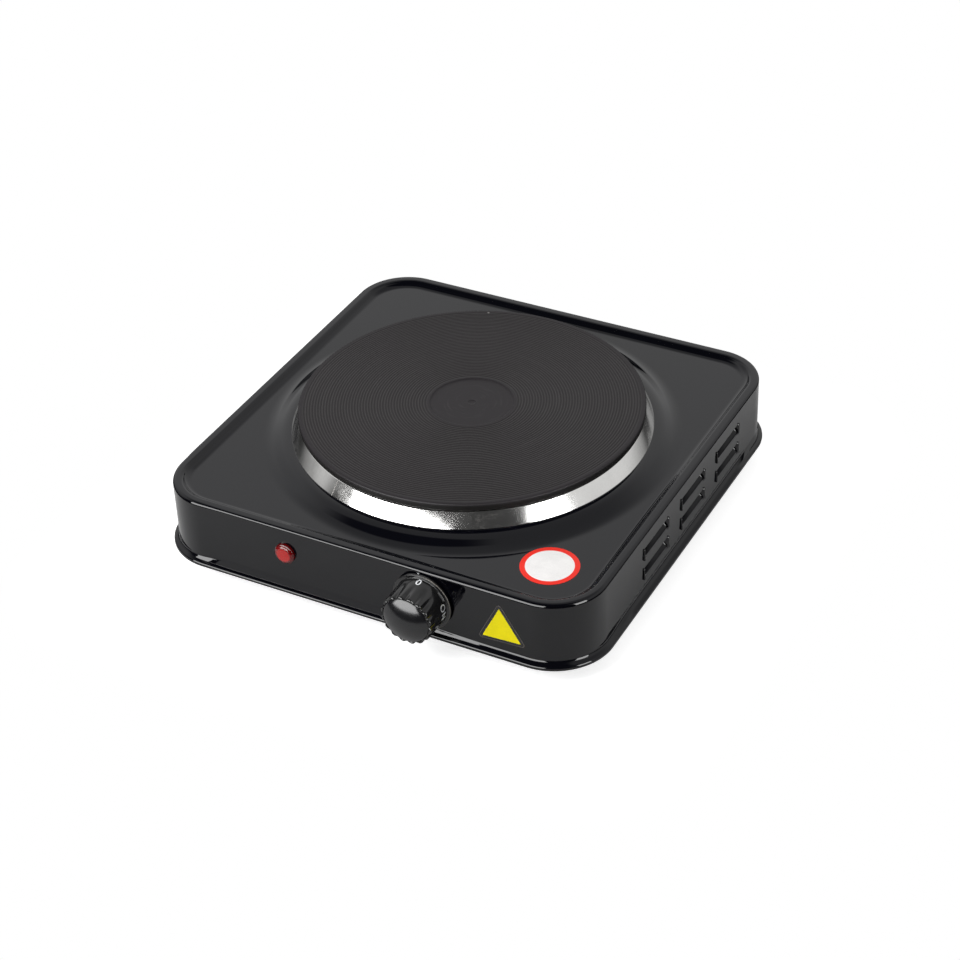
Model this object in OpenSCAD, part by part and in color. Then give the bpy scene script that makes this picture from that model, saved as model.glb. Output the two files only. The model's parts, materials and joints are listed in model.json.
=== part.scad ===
// Hot plate burner: a pressed steel body, a cast-iron plate in a trim ring, a rotary thermostat, a neon lamp.
// Millimetres, +Z up. The front, with the knob, faces -Y.
// The origin is the centre of the outer box, on the plane that the feet stand on.

/* [Body] */
// Width between the outer faces of the side walls
body_w = 247; // [240:1:300]
// Depth between the outer faces of the front and back walls
body_d = 247; // [240:1:300]
// Height of the pressed body, from the bottom of its lip to its rim
body_h = 38.7; // [36:0.1:60]
// Thickness of the body's sheet
wall = 0.8; // [0.5:0.1:1.2]
// Radius of the body's upright corners
corner_r = 29; // [22:0.5:45]
// Rounding along the top edge of the walls
edge_r = 2; // [1.3:0.1:3]
// Width of the flat rim round the deck, with the edge rounding
rim_w = 4.9; // [4:0.1:8]
// Width of the slope between the rim and the deck
slope_w = 2.4; // [1.5:0.1:4]
// Depth of the deck below the rim
deck_drop = 2.9; // [1.5:0.1:5]
// How far the bottom lip stands out from the walls
lip_out = 3; // [2:0.1:4]
// Height of the bottom lip
lip_h = 4; // [3:0.1:6]

/* [Boss under the plate] */
// Height of the boss above the deck
boss_rise = 4.6; // [4:0.1:9]
// Radial width of the boss's sloping side
boss_run = 14.4; // [8:0.1:15]

/* [Side vents] */
// Vents in a row
vent_columns = 3; // [1:1:3]
// Rows of vents
vent_rows = 2; // [1:1:2]
// Length of a vent
vent_len = 31; // [20:1:38]
// Height of a vent
vent_h = 3.5; // [2.5:0.1:5]
// Distance between vents along the side
vent_pitch = 46.5; // [42:0.5:50]
// Distance between the rows
vent_row_pitch = 12.6; // [8:0.1:13]
// Height of the lower row above the bottom of the lip
vent_z = 15.1; // [12:0.1:16]
// How far the middle vent lies behind the plate's axis
vent_y = 10; // [-10:0.5:15]
// How far the strip in a vent is pressed in
vent_press = 2.2; // [1.5:0.1:3]

/* [Feet] */
// Height of the feet below the lip
foot_h = 11; // [8:0.5:20]
// Radius of a foot at its top
foot_r = 10; // [8:0.5:13]
// Distance from the side wall to the centre of a foot
foot_inset_x = 28.5; // [24:0.5:36]
// Distance from the front or back wall to the centre of a foot
foot_inset_y = 43.5; // [42:0.5:55]

/* [Plate] */
// Radius of the cast-iron plate
plate_r = 92.5; // [76:0.5:94]
// Thickness of the plate's top
plate_t = 5; // [4:0.1:7]
// Depth of the plate's whole casting, with its skirt
plate_depth = 16.5; // [15:0.1:18]
// Height of the plate's edge above the trim ring
plate_edge_h = 5; // [3.5:0.05:6]
// Radius of the sunk disc in the plate's centre
dish_r = 22; // [15:0.5:25]
// Depth of that disc
dish_t = 0.6; // [0.2:0.1:1]
// Thickness of the plate's skirt
skirt_t = 4; // [3:0.5:6]
// Height of the trim ring
ring_h = 7.8; // [5:0.05:10]
// How much wider the ring is at its foot than at its top
ring_flare = 5.3; // [3:0.1:6]
// Thickness of the trim ring's sheet
ring_t = 0.6; // [0.4:0.1:1]
// Radius of a heating coil's winding
coil_r = 3; // [2:0.1:3.4]

/* [Knob] */
// Distance of the knob's axis to the right of the plate's axis
knob_x = 36.8; // [0:0.1:50]
// Height of the knob's axis above the bottom of the lip
knob_z = 20.6; // [18:0.1:24]
// Radius of the knob's skirt, which is its dial
dial_r = 16.3; // [16:0.1:18]
// Gap between the dial and the front panel
dial_gap = 1; // [0.6:0.1:2]
// Radius of the knob's grip
grip_r = 14.2; // [13:0.1:15]
// Distance from the front panel to the end of the grip
grip_len = 18.5; // [16:0.1:24]
// Number of flutes in the grip
flute_count = 16; // [8:1:20]
// Radius of a flute
flute_r = 1.5; // [1:0.1:1.8]
// Radius of the domed cap in the end of the knob
cap_r = 12.6; // [11:0.1:12.8]
// How far the cap's dome stands out past the grip
cap_dome = 3.4; // [1:0.1:5]
// Radius of the shaft
shaft_r = 3; // [2.5:0.1:3.2]

/* [Lamp] */
// Distance of the lamp's axis to the right of the plate's axis
lamp_x = -42.9; // [-80:0.1:-20]
// Height of the lamp's axis above the bottom of the lip
lamp_z = 23.8; // [14:0.1:28]
// Radius of the lens
lens_r = 5.8; // [5:0.1:8]
// How far the lens stands out, without its dome
lens_h = 1.6; // [1:0.1:5]
// Radius of the hole for the lamp
lamp_hole_r = 4.8; // [4:0.1:4.9]

/* [Cord gland] */
// Distance of the gland's axis to the right of the plate's axis
gland_x = -48; // [-75:0.5:-40]
// Height of the gland's axis above the bottom of the lip
gland_z = 18; // [14:0.5:24]
// Radius of the hole in the gland for a cord
gland_bore_r = 3.75; // [3:0.05:4.5]
// Radius of the hole in the body for the gland
gland_hole_r = 6.3; // [6:0.1:8]
// How far the gland stands out behind the body
gland_reach = 6; // [4:0.5:10]

/* [Labels] */
// Radius of the round label on the deck
round_label_r = 15; // [8:0.5:16]
// Distance from the outer walls to the centre of the round label
round_label_inset = 33.3; // [32:0.1:36]
// Thickness of the labels
label_t = 0.15; // [0.1:0.05:0.3]

/* [Hidden] */
$fn = 96;

// Cutters reach past the sheet that they cut by this much.
past = 1;
// Clearance between sheet pieces that drop into one another.
sheet_gap = 0.5;
// Radial clearance of a running fit.
run_gap = 0.05;

// Body heights, from the bottom of the lip.
deck_z = body_h - deck_drop;
boss_z = deck_z + boss_rise;
ring_z = boss_z + ring_h;
plate_z = ring_z + plate_edge_h;
deck_inset = rim_w + slope_w;

// Radii round the plate, from the plate outward.
plate_body_r = plate_r - 4;
ring_top_r = plate_r - 1;
ring_foot_r = ring_top_r + ring_flare;
boss_r = ring_foot_r + 0.4;
boss_foot_r = boss_r + boss_run;
boss_hole_r = plate_body_r + 2;

// The plate's casting: three ring channels between the hub ring and the skirt.
hub_ring_r = 24;
hub_ring_t = 4;
rib_t = 4;
hub_r = 9;
channel_w = (plate_body_r - skirt_t - hub_ring_r - 2 * rib_t) / 3;
function channel_r(i) = hub_ring_r + i * (channel_w + rib_t);
top_under_z = plate_z - plate_t;
casting_z = plate_z - plate_depth;
rib_z = casting_z + 1;
coil_z = top_under_z - 4.3;
compound_z = rib_z + 1.7;
edge_under = 0.25;
edge_round = 1.3;

// What hangs on the plate's stud, from the hub down.
shield_t = 0.6;
bridge_t = 2;
bridge_w = 26;
washer_t = 1.4;
tag_t = 0.8;
nut_h = 5;
cover_t = 0.8;
hub_z = casting_z - 3.2;
shield_z = hub_z - shield_t;
bridge_z = shield_z - bridge_t;
washer_z = bridge_z - washer_t;
tag_z = washer_z - tag_t;
nut_z = tag_z - nut_h;
stud_r = 3;
stud_end_z = nut_z - 2;
stud_top_z = top_under_z - 2;
shield_r = plate_body_r - 2.5;
shield_rim_h = 3;
leg_x = plate_body_r + 2.5;
leg_foot_x = ring_foot_r - 0.8;

// The plate's connections, on the back of the middle channel.
pin_y = channel_r(1) + channel_w / 2;
pin_x = 10;
pin_r = 1.25;
pin_end_z = shield_z - 14;
pin_block = [34, 12, 8];
pin_block_z = rib_z - cover_t - pin_block[2];

// Base plate and feet.
base_t = 0.8;
base_z = lip_h - wall - base_t;
base_w = body_w + 2 * (lip_out - wall - sheet_gap);
base_d = body_d + 2 * (lip_out - wall - sheet_gap);
base_corner_r = corner_r + lip_out - wall - sheet_gap;
foot_x = body_w / 2 - foot_inset_x;
foot_y = body_d / 2 - foot_inset_y;
foot_taper = 1;
foot_screw_r = 2;
foot_head_r = 3.8;
foot_head_h = 2.6;
foot_head_z = -foot_h + 6;
bracket_t = 1.2;
bracket_w = 20;
bracket_leg_h = 8;
slot_len = 34;
slot_w = 5;
slot_pitch = 12;
slot_count = 5;
slot_row_x = 55;

// Thermostat, seen from the shaft's axis on the inside of the front panel.
frame_t = 1.2;
frame_left = 16;
frame_right = 29;
frame_half_h = 10;
fix_x = 11;
fix_r = 1.5;
fix_head_r = 2.75;
fix_head_h = 2;
bush_r = 5;
bush_flange_r = 7;
bush_len = 9;
bush_flange_t = 2;
shaft_collar_r = 4.5;
shaft_collar_t = 1.4;
shaft_end_y = bush_len + 0.3 + shaft_collar_t;
push_r = 1.5;
push_depth = 5;
push_gap = 0.2;
stack_x = 22;
stack_r = 6;
stack_rivet_r = 2;
stack_head_r = 3.6;
stack_head_h = 1.2;
blade_half_h = 4;
blade_hole_r = 3.2;
arm_y = 13;
arm_t = 0.5;
arm_tip_x = -15;
fixed_y = 16.6;
fixed_t = 0.8;
bimetal_y = 22.4;
bimetal_t = 0.8;
stack_end_y = 25.4;
hinge_x = stack_x - stack_r;
hinge_gap = 0.2;
tab_x = 34;
tab_half_h = 3.15;
contact_x = -12;
contact_r = 2.2;
contact_gap = 1.6;
fixed_contact_h = 0.8;
button_x = -5;
button_r = 1.5;
button_tip_y = arm_y + arm_t + 1.75;

// Knob and shaft.
dial_edge = 1.6;
hub_wall_r = 5.6;
knob_web_z = 14.5;
knob_hollow_r = 11.6;
dial_hollow_r = 14.6;
dial_hollow_z = 4;
cap_seat = 1.5;
fit_gap = 0.05;
flat_depth = 1;
shaft_flat = shaft_r - flat_depth;
clip_t = 0.45;
clip_half_w = 1.5;
clip_len = 9;
shaft_front = knob_web_z - 0.3;
knob_reach = grip_len + cap_dome;

// Lamp.
lens_dome = 1.1;
lens_tail = 14;
lens_tail_t = 1;
retainer_t = 0.5;
retainer_r = 8;
plug_len = 4;
bulb_r = 2.6;
bulb_len = 9;
resistor_r = 1.2;
resistor_len = 6;

// Mains terminal block on its bracket at the back wall.
block = [38, 20, 13];
block_x = 0;
shelf_z = 8;
shelf_t = 1.2;
shelf_half_w = 22;
shelf_depth = 26;
shelf_leg_h = 16;
pole_pitch = 11;
insert = [5.4, 20, 5.4];
insert_bore_r = 1.9;
insert_z = 3.4;
pole_screw_r = 1.6;
pole_screw_y = 5.5;
pole_screw_h = 5.5;
block_screw_r = 1.5;
block_screw_y = 0;

// Cord gland.
gland_flange_r = gland_hole_r + 2.7;
gland_flange_t = 3;
gland_inside = 8;
gland_barb_r = gland_hole_r + 0.9;

// Wires: radii and hand-chosen corners, from the bottom of the lip.
wire_r = 1.4;
lead_r = 0.7;
front_in = -body_d / 2 + wall;
block_front_y = body_d / 2 - wall - shelf_depth + 1;
block_wire_z = shelf_z + shelf_t + insert_z + insert[2] / 2;
in_pole_y = block_front_y + 6;
live_route = [
    [pole_pitch, in_pole_y, block_wire_z], [pole_pitch, 86, block_wire_z], [40, 70, 11], [78, 30, 10],
    [84, -60, 10], [84, -98, 14], [knob_x + tab_x + 9, front_in + arm_y + arm_t / 2, knob_z],
    [knob_x + tab_x, front_in + arm_y + arm_t / 2, knob_z]
];
switched_route = [
    [knob_x + tab_x, front_in + fixed_y + fixed_t / 2, knob_z],
    [knob_x + tab_x + 5, front_in + fixed_y + fixed_t / 2, knob_z], [74, -86, 20], [46, -20, 19],
    [22, 34, 16], [pin_x, pin_y, pin_end_z - 4], [pin_x, pin_y, pin_end_z]
];
neutral_route = [
    [0, in_pole_y, block_wire_z], [0, 86, block_wire_z], [-6, 70, 14],
    [-pin_x, pin_y, pin_end_z - 4], [-pin_x, pin_y, pin_end_z]
];
tag_tail = 13;
earth_route = [
    [-pole_pitch, in_pole_y, block_wire_z], [-pole_pitch, 86, block_wire_z], [-24, 66, 12], [-27, 34, 13],
    [-tag_tail * cos(45) - 4, tag_tail * sin(45) + 4, tag_z + tag_t / 2],
    [-tag_tail * cos(45), tag_tail * sin(45), tag_z + tag_t / 2]
];
plug_y = -body_d / 2 + lens_tail - plug_len + 2;
lead_gap = 1.5;
lead_a_route = [
    [lamp_x - lead_gap, plug_y, lamp_z], [lamp_x - lead_gap, plug_y + 24, lamp_z], [-50, -60, 14],
    [-36, 10, 8], [-22, 44, 8], [-pin_x - 3, pin_y - 3, pin_end_z - 2],
    [-pin_x - 2, pin_y - 2, pin_end_z + 3]
];
lead_b_route = [
    [lamp_x + lead_gap, plug_y, lamp_z], [lamp_x + lead_gap, plug_y + 22, lamp_z], [-38, -60, 15],
    [-18, -14, 12], [-6, 24, 9], [4, 44, 10], [pin_x - 2, pin_y - 2, pin_end_z + 3]
];

// Labels.
label_apex = [79, 29.7];
label_left = [68.9, 9.6];
label_right = [91, 10.7];
label_border = 1.5;
backing_t = 0.15;

// The body's centre lies behind the origin, because the knob reaches out further than the gland.
body_y = (knob_reach - gland_reach) / 2;

function arc(centre, r, from, to, steps) = [
    for (i = [0:steps])
        let (a = from + (to - from) * i / steps) [centre[0] + r * cos(a), centre[1] + r * sin(a)]
];

// Half of a bend's offset, for a sheet that turns by the given rise and run.
function bend(rise, run) = wall * tan(atan2(rise, run) / 2);

// Everything is drawn from the plate's axis and the bottom of the lip, and stood on its feet here.
module stand() {
    translate([0, body_y, foot_h]) children();
}

module y_cylinder(r, from, to) {
    translate([0, from, 0]) rotate([-90, 0, 0]) cylinder(r = r, h = to - from);
}

module tube(r, hole_r, h) {
    difference() {
        cylinder(r = r, h = h);
        translate([0, 0, -past]) cylinder(r = hole_r, h = h + 2 * past);
    }
}

module y_tube(r, hole_r, from, to) {
    difference() {
        y_cylinder(r, from, to);
        y_cylinder(hole_r, from - past, to + past);
    }
}

module box(low, high) {
    translate(low) cube(high - low);
}

module rounded_rect(w, d, r) {
    square([w, d - 2 * r], center = true);
    square([w - 2 * r, d], center = true);
    for (x = [-1, 1], y = [-1, 1]) translate([x * (w / 2 - r), y * (d / 2 - r)]) circle(r);
}

// Sweeps a flat outline round the body. The outline's x is 0 at the walls' outer face and negative inward.
module around_body() {
    for (side = [0:3]) {
        across = side % 2 == 0 ? body_w : body_d;
        along = side % 2 == 0 ? body_d : body_w;
        rotate([0, 0, 90 * side]) {
            rotate([90, 0, 0])
                linear_extrude(height = along - 2 * corner_r, center = true)
                    translate([across / 2, 0]) children();
            translate([across / 2 - corner_r, along / 2 - corner_r, 0])
                rotate_extrude(angle = 90) translate([corner_r, 0]) children();
        }
    }
}

module sheet_outline() {
    k = bend(deck_drop, slope_w);
    polygon(concat(
        [[lip_out - wall, 0], [lip_out, 0], [lip_out, lip_h - wall], [lip_out - wall, lip_h], [0, lip_h]],
        arc([-edge_r, body_h - edge_r], edge_r, 0, 90, 5),
        [[-rim_w, body_h], [-deck_inset, deck_z], [-deck_inset, deck_z - wall]],
        [[k - deck_inset, deck_z - wall], [k - rim_w, body_h - wall]],
        arc([-edge_r, body_h - edge_r], edge_r - wall, 90, 0, 3),
        [[-wall, lip_h - wall], [lip_out - wall, lip_h - wall]]
    ));
}

module deck() {
    translate([0, 0, deck_z - wall])
        linear_extrude(height = wall)
            difference() {
                rounded_rect(body_w - 2 * deck_inset, body_d - 2 * deck_inset, corner_r - deck_inset);
                circle(boss_foot_r);
            }
}

module boss() {
    k = bend(boss_rise, boss_run);
    rotate_extrude()
        polygon([
            [boss_hole_r, boss_z - wall], [boss_r - k, boss_z - wall], [boss_foot_r - k, deck_z - wall],
            [boss_foot_r, deck_z - wall], [boss_foot_r, deck_z], [boss_r, boss_z], [boss_hole_r, boss_z]
        ]);
}

// Places its children at every vent, with +X pointing out of the body at the wall's outer face.
module at_vents() {
    for (side = [-1, 1], column = [0:vent_columns - 1], row = [0:vent_rows - 1])
        mirror([side < 0 ? 1 : 0, 0, 0])
            translate([body_w / 2, vent_y + (column - (vent_columns - 1) / 2) * vent_pitch, 0])
                translate([0, 0, vent_z + row * vent_row_pitch]) children();
}

module vent_slot() {
    box([-wall - past, -vent_len / 2, -vent_h / 2], [past, vent_len / 2, vent_h / 2]);
}

// The strip between a vent's two cuts, pressed in and still joined at both ends.
module vent_strip() {
    half = vent_len / 2;
    ramp = 4;
    translate([0, 0, -vent_h / 2])
        linear_extrude(height = vent_h)
            polygon([
                [0, -half], [-vent_press, ramp - half], [-vent_press, half - ramp], [0, half],
                [-wall, half], [-vent_press - wall, half - ramp], [-vent_press - wall, ramp - half],
                [-wall, -half]
            ]);
}

// Places its children at the knob's axis on the front panel's outer face, with +Z pointing outward.
module before_panel(x, z) {
    translate([x, -body_d / 2, z]) rotate([90, 0, 0]) children();
}

// Places its children at the knob's axis on the front panel's inner face, with +Y pointing inward.
module behind_panel() {
    translate([knob_x, front_in, knob_z]) children();
}

module front_holes() {
    translate([knob_x, 0, knob_z]) {
        y_cylinder(bush_r, -body_d / 2 - past, front_in + past);
        for (x = [-fix_x, fix_x])
            translate([x, 0, 0]) y_cylinder(fix_r, -body_d / 2 - past, front_in + past);
    }
    translate([lamp_x, 0, lamp_z]) y_cylinder(lamp_hole_r, -body_d / 2 - past, front_in + past);
}

module body_shell() {
    color("#26262a")
        stand() {
            difference() {
                union() {
                    around_body() sheet_outline();
                    deck();
                    boss();
                }
                at_vents() vent_slot();
                front_holes();
                translate([gland_x, 0, gland_z])
                    y_cylinder(gland_hole_r, body_d / 2 - wall - past, body_d / 2 + past);
            }
            at_vents() vent_strip();
        }
}

module at_feet() {
    for (x = [-1, 1], y = [-1, 1]) translate([x * foot_x, y * foot_y, 0]) children();
}

// A welded angle at each foot: its shelf takes the foot's screw, and its leg lies against the side wall.
module corner_brackets() {
    reach = foot_inset_x - wall;
    half = bracket_w / 2;
    color("silver")
        stand()
            for (x = [-1, 1], y = [-1, 1])
                translate([x * foot_x, y * foot_y, lip_h - wall])
                    mirror([x < 0 ? 1 : 0, 0, 0])
                        difference() {
                            union() {
                                box([-half, -half, 0], [reach, half, bracket_t]);
                                box([reach - bracket_t, -half, 0], [reach, half, bracket_leg_h]);
                            }
                            translate([0, 0, -past]) cylinder(r = foot_screw_r, h = bracket_t + 2 * past);
                        }
}

module base_plate() {
    color("silver")
        stand()
            translate([0, 0, base_z])
                linear_extrude(height = base_t)
                    difference() {
                        rounded_rect(base_w, base_d, base_corner_r);
                        at_feet() circle(foot_screw_r);
                        for (x = [-slot_row_x, 0, slot_row_x], i = [0:slot_count - 1])
                            translate([x, (i - (slot_count - 1) / 2) * slot_pitch]) base_slot();
                    }
}

module base_slot() {
    square([slot_len - slot_w, slot_w], center = true);
    for (x = [-1, 1]) translate([x * (slot_len - slot_w) / 2, 0]) circle(slot_w / 2);
}

module foot(x, y) {
    color("#1c1c1c")
        stand()
            translate([x * foot_x, y * foot_y, 0])
                difference() {
                    translate([0, 0, -foot_h])
                        rotate_extrude()
                            polygon([
                                [0, 0], [foot_r - foot_taper - 1, 0], [foot_r - foot_taper, 1],
                                [foot_r, foot_h + base_z], [0, foot_h + base_z]
                            ]);
                    translate([0, 0, -foot_h - past]) cylinder(r = foot_head_r + 0.7, h = 6 + past);
                    cylinder(r = foot_screw_r, h = 2 * foot_h, center = true);
                }
}

module foot_screws() {
    color("silver")
        stand()
            at_feet() {
                translate([0, 0, foot_head_z - foot_head_h])
                    difference() {
                        cylinder(r = foot_head_r, h = foot_head_h);
                        translate([-foot_head_r, -0.5, -past]) cube([2 * foot_head_r, 1, 1 + past]);
                    }
                translate([0, 0, foot_head_z]) cylinder(r = foot_screw_r, h = lip_h + 3 - foot_head_z);
            }
}

module hot_plate() {
    color("#3b3431")
        stand() {
            difference() {
                rotate_extrude()
                    difference() {
                        polygon(concat(
                            [[0, hub_z], [hub_r, hub_z], [hub_r, casting_z + 1]],
                            [[hub_ring_r - hub_ring_t, casting_z + 1]],
                            [[hub_ring_r - hub_ring_t, rib_z], [plate_body_r - skirt_t, rib_z]],
                            [[plate_body_r - skirt_t, casting_z], [plate_body_r, casting_z]],
                            [[plate_body_r, ring_z]],
                            [[plate_body_r + 1.6, ring_z], [plate_r - edge_under, ring_z + 0.9]],
                            [[plate_r, ring_z + 1.2]],
                            arc([plate_r - edge_round, plate_z - edge_round], edge_round, 0, 90, 5),
                            [[dish_r + dish_t, plate_z], [dish_r, plate_z - dish_t], [0, plate_z - dish_t]]
                        ));
                        translate([hub_r, 0]) square([hub_ring_r - hub_ring_t - hub_r, top_under_z]);
                        for (i = [0:2]) translate([channel_r(i), 0]) square([channel_w, top_under_z]);
                    }
                translate([0, 0, hub_z - past]) cylinder(r = stud_r, h = stud_top_z - hub_z + past);
            }
        }
}

module trim_ring() {
    color("#d0d2d4")
        stand()
            rotate_extrude()
                polygon([
                    [ring_foot_r - ring_t, boss_z], [ring_foot_r, boss_z], [ring_top_r, ring_z],
                    [plate_body_r + run_gap * 4, ring_z], [plate_body_r + run_gap * 4, ring_z - ring_t],
                    [ring_top_r - ring_t, ring_z - ring_t]
                ]);
}

module coil(i, grow = 0) {
    rotate_extrude() translate([channel_r(i) + channel_w / 2, coil_z]) circle(coil_r + grow);
}

module heating_coil_inner() {
    color("#8a8178") stand() coil(0);
}

module heating_coil_middle() {
    color("#8a8178") stand() coil(1);
}

module heating_coil_outer() {
    color("#8a8178") stand() coil(2);
}

module pin_holes(r, from, to) {
    for (x = [-pin_x, pin_x]) translate([x, pin_y, from]) cylinder(r = r, h = to - from);
}

// Three rings of compound, one in each channel, cast round the coils.
module insulating_compound() {
    color("#c9c2b2")
        stand()
            difference() {
                for (i = [0:2])
                    translate([0, 0, compound_z])
                        tube(channel_r(i) + channel_w, channel_r(i), top_under_z - compound_z);
                for (i = [0:2]) coil(i);
                pin_holes(pin_r, compound_z - past, coil_z);
            }
}

module plate_back_cover() {
    color("silver")
        stand()
            difference() {
                translate([0, 0, rib_z - cover_t]) tube(plate_body_r - skirt_t - 0.2, hub_r + 0.3, cover_t);
                pin_holes(pin_r + 0.6, rib_z - cover_t - past, rib_z + past);
            }
}

module heat_shield() {
    color("#b5b8ba")
        stand()
            difference() {
                union() {
                    translate([0, 0, shield_z]) cylinder(r = shield_r, h = shield_t);
                    translate([0, 0, shield_z]) tube(shield_r, shield_r - shield_t, shield_rim_h);
                }
                translate([0, 0, shield_z - past]) cylinder(r = stud_r + 0.3, h = shield_t + 2 * past);
                translate([0, pin_y, shield_z])
                    cube([pin_block[0] + 1, pin_block[1] + 1, 4], center = true);
            }
}

module plate_stud() {
    color("silver") stand() translate([0, 0, stud_end_z]) cylinder(r = stud_r, h = stud_top_z - stud_end_z);
}

// A strap under the plate whose two legs press up against the underside of the boss.
module mounting_bridge() {
    top_z = boss_z - wall;
    half = bridge_w / 2;
    color("silver")
        stand()
            difference() {
                union() {
                    box([-leg_x - bridge_t, -half, bridge_z], [leg_x + bridge_t, half, shield_z]);
                    for (side = [0, 1])
                        mirror([side, 0, 0]) {
                            box([leg_x, -half, bridge_z], [leg_x + bridge_t, half, top_z]);
                            box([leg_x, -half, top_z - bridge_t], [leg_foot_x, half, top_z]);
                        }
                }
                translate([0, 0, bridge_z - past]) cylinder(r = stud_r + 0.2, h = bridge_t + 2 * past);
            }
}

module stud_washer() {
    color("silver") stand() translate([0, 0, washer_z]) tube(7.5, stud_r + 0.2, washer_t);
}

// A ring tag on the stud, with a tail for the earth wire.
module earth_tag() {
    color("#c9a14a")
        stand()
            translate([0, 0, tag_z])
                difference() {
                    union() {
                        cylinder(r = 6, h = tag_t);
                        rotate([0, 0, 135]) translate([0, -2, 0]) cube([tag_tail, 4, tag_t]);
                    }
                    translate([0, 0, -past]) cylinder(r = stud_r + 0.2, h = tag_t + 2 * past);
                }
}

module stud_nut() {
    color("silver")
        stand()
            translate([0, 0, nut_z])
                difference() {
                    cylinder(r = 5.77, h = nut_h, $fn = 6);
                    translate([0, 0, -past]) cylinder(r = stud_r, h = nut_h + 2 * past);
                }
}

module plate_terminal_block() {
    color("#e8e2d4")
        stand()
            difference() {
                translate([0, pin_y, pin_block_z + pin_block[2] / 2]) cube(pin_block, center = true);
                pin_holes(pin_r, pin_block_z - past, pin_block_z + pin_block[2] + past);
            }
}

// Two pins from the coils down through the block, each with a collar under it and a screw end.
module plate_terminal_pins() {
    color("silver")
        stand() {
            pin_holes(pin_r, pin_end_z, coil_z - coil_r);
            pin_holes(2.6, pin_block_z - 2.4, pin_block_z);
        }
}

module thermostat_frame() {
    color("#b9bcbe")
        stand()
            behind_panel()
                difference() {
                    box([-frame_left, 0, -frame_half_h], [frame_right, frame_t, frame_half_h]);
                    y_cylinder(bush_r, -past, frame_t + past);
                    for (x = [-fix_x, fix_x]) translate([x, 0, 0]) y_cylinder(fix_r, -past, frame_t + past);
                    translate([stack_x, 0, 0]) y_cylinder(stack_rivet_r, -past, frame_t + past);
                }
}

module thermostat_screws() {
    head_y = -wall - fix_head_h;
    color("silver")
        stand()
            behind_panel()
                for (x = [-fix_x, fix_x])
                    translate([x, 0, 0]) {
                        difference() {
                            y_cylinder(fix_head_r, head_y, -wall);
                            box([-fix_head_r, head_y - past, -0.4], [fix_head_r, head_y + 0.8, 0.4]);
                        }
                        y_cylinder(fix_r, -wall, frame_t + 2.5);
                    }
}

module shaft_bush() {
    color("#c2a050")
        stand()
            behind_panel()
                difference() {
                    union() {
                        y_cylinder(bush_r, -wall, bush_len);
                        y_cylinder(bush_flange_r, frame_t, frame_t + bush_flange_t);
                    }
                    y_cylinder(shaft_r + run_gap, -wall - past, bush_len + past);
                }
}

// Four ceramic spacers that hold the three blades apart.
module ceramic_stack() {
    levels = [
        [frame_t, arm_y], [arm_y + arm_t, fixed_y],
        [fixed_y + fixed_t, bimetal_y], [bimetal_y + bimetal_t, stack_end_y]
    ];
    color("#ece7da")
        stand()
            behind_panel()
                translate([stack_x, 0, 0])
                    for (level = levels) y_tube(stack_r, stack_rivet_r, level[0], level[1]);
}

module stack_rivet() {
    color("silver")
        stand()
            behind_panel()
                translate([stack_x, 0, 0]) {
                    y_cylinder(stack_rivet_r, 0, stack_end_y);
                    y_cylinder(stack_head_r, stack_end_y, stack_end_y + stack_head_h);
                }
}

// A flat strip in the stack, clear of the rivet, from one x to another.
module strip(from, to, y, t, half_h) {
    difference() {
        box([from, y, -half_h], [to, y + t, half_h]);
        translate([stack_x, 0, 0]) y_cylinder(blade_hole_r, y - past, y + t + past);
    }
}

module contact_arm_terminal() {
    color("#c2a050")
        stand()
            behind_panel() {
                strip(hinge_x + hinge_gap, stack_x + stack_r, arm_y, arm_t, blade_half_h);
                box([stack_x + stack_r, arm_y, -tab_half_h], [tab_x, arm_y + arm_t, tab_half_h]);
            }
}

module contact_arm() {
    color("#b8863a")
        stand()
            behind_panel()
                difference() {
                    box([arm_tip_x, arm_y, -blade_half_h], [hinge_x, arm_y + arm_t, blade_half_h]);
                    translate([contact_x, 0, 0]) y_cylinder(1, arm_y - past, arm_y + arm_t + past);
                }
}

module moving_contact() {
    color("#dcdcd8")
        stand()
            behind_panel()
                translate([contact_x, 0, 0]) {
                    y_cylinder(1, arm_y - 0.4, arm_y + arm_t);
                    y_cylinder(contact_r, arm_y + arm_t, fixed_y - fixed_contact_h - contact_gap);
                }
}

module fixed_contact_blade() {
    color("#c2a050")
        stand()
            behind_panel() {
                difference() {
                    strip(arm_tip_x, stack_x + stack_r, fixed_y, fixed_t, blade_half_h);
                    translate([button_x, 0, 0])
                        y_cylinder(button_r + 0.7, fixed_y - past, fixed_y + fixed_t + past);
                    translate([contact_x, 0, 0]) y_cylinder(1, fixed_y - past, fixed_y + fixed_t + past);
                }
                box([stack_x + stack_r, fixed_y, -tab_half_h], [tab_x, fixed_y + fixed_t, tab_half_h]);
            }
}

module fixed_contact() {
    color("#dcdcd8")
        stand()
            behind_panel()
                translate([contact_x, 0, 0]) {
                    y_cylinder(contact_r, fixed_y - fixed_contact_h, fixed_y);
                    y_cylinder(1, fixed_y, fixed_y + fixed_t + 0.4);
                }
}

module bimetal_holder() {
    color("#b9bcbe")
        stand()
            behind_panel()
                strip(hinge_x + hinge_gap, stack_x + stack_r + 1, bimetal_y, bimetal_t, blade_half_h);
}

module bimetal_blade() {
    color("#9a948c")
        stand()
            behind_panel()
                difference() {
                    box(
                        [arm_tip_x, bimetal_y, -blade_half_h],
                        [hinge_x, bimetal_y + bimetal_t, blade_half_h]
                    );
                    translate([button_x, 0, 0])
                        y_cylinder(1, bimetal_y - past, bimetal_y + bimetal_t + past);
                }
}

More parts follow.
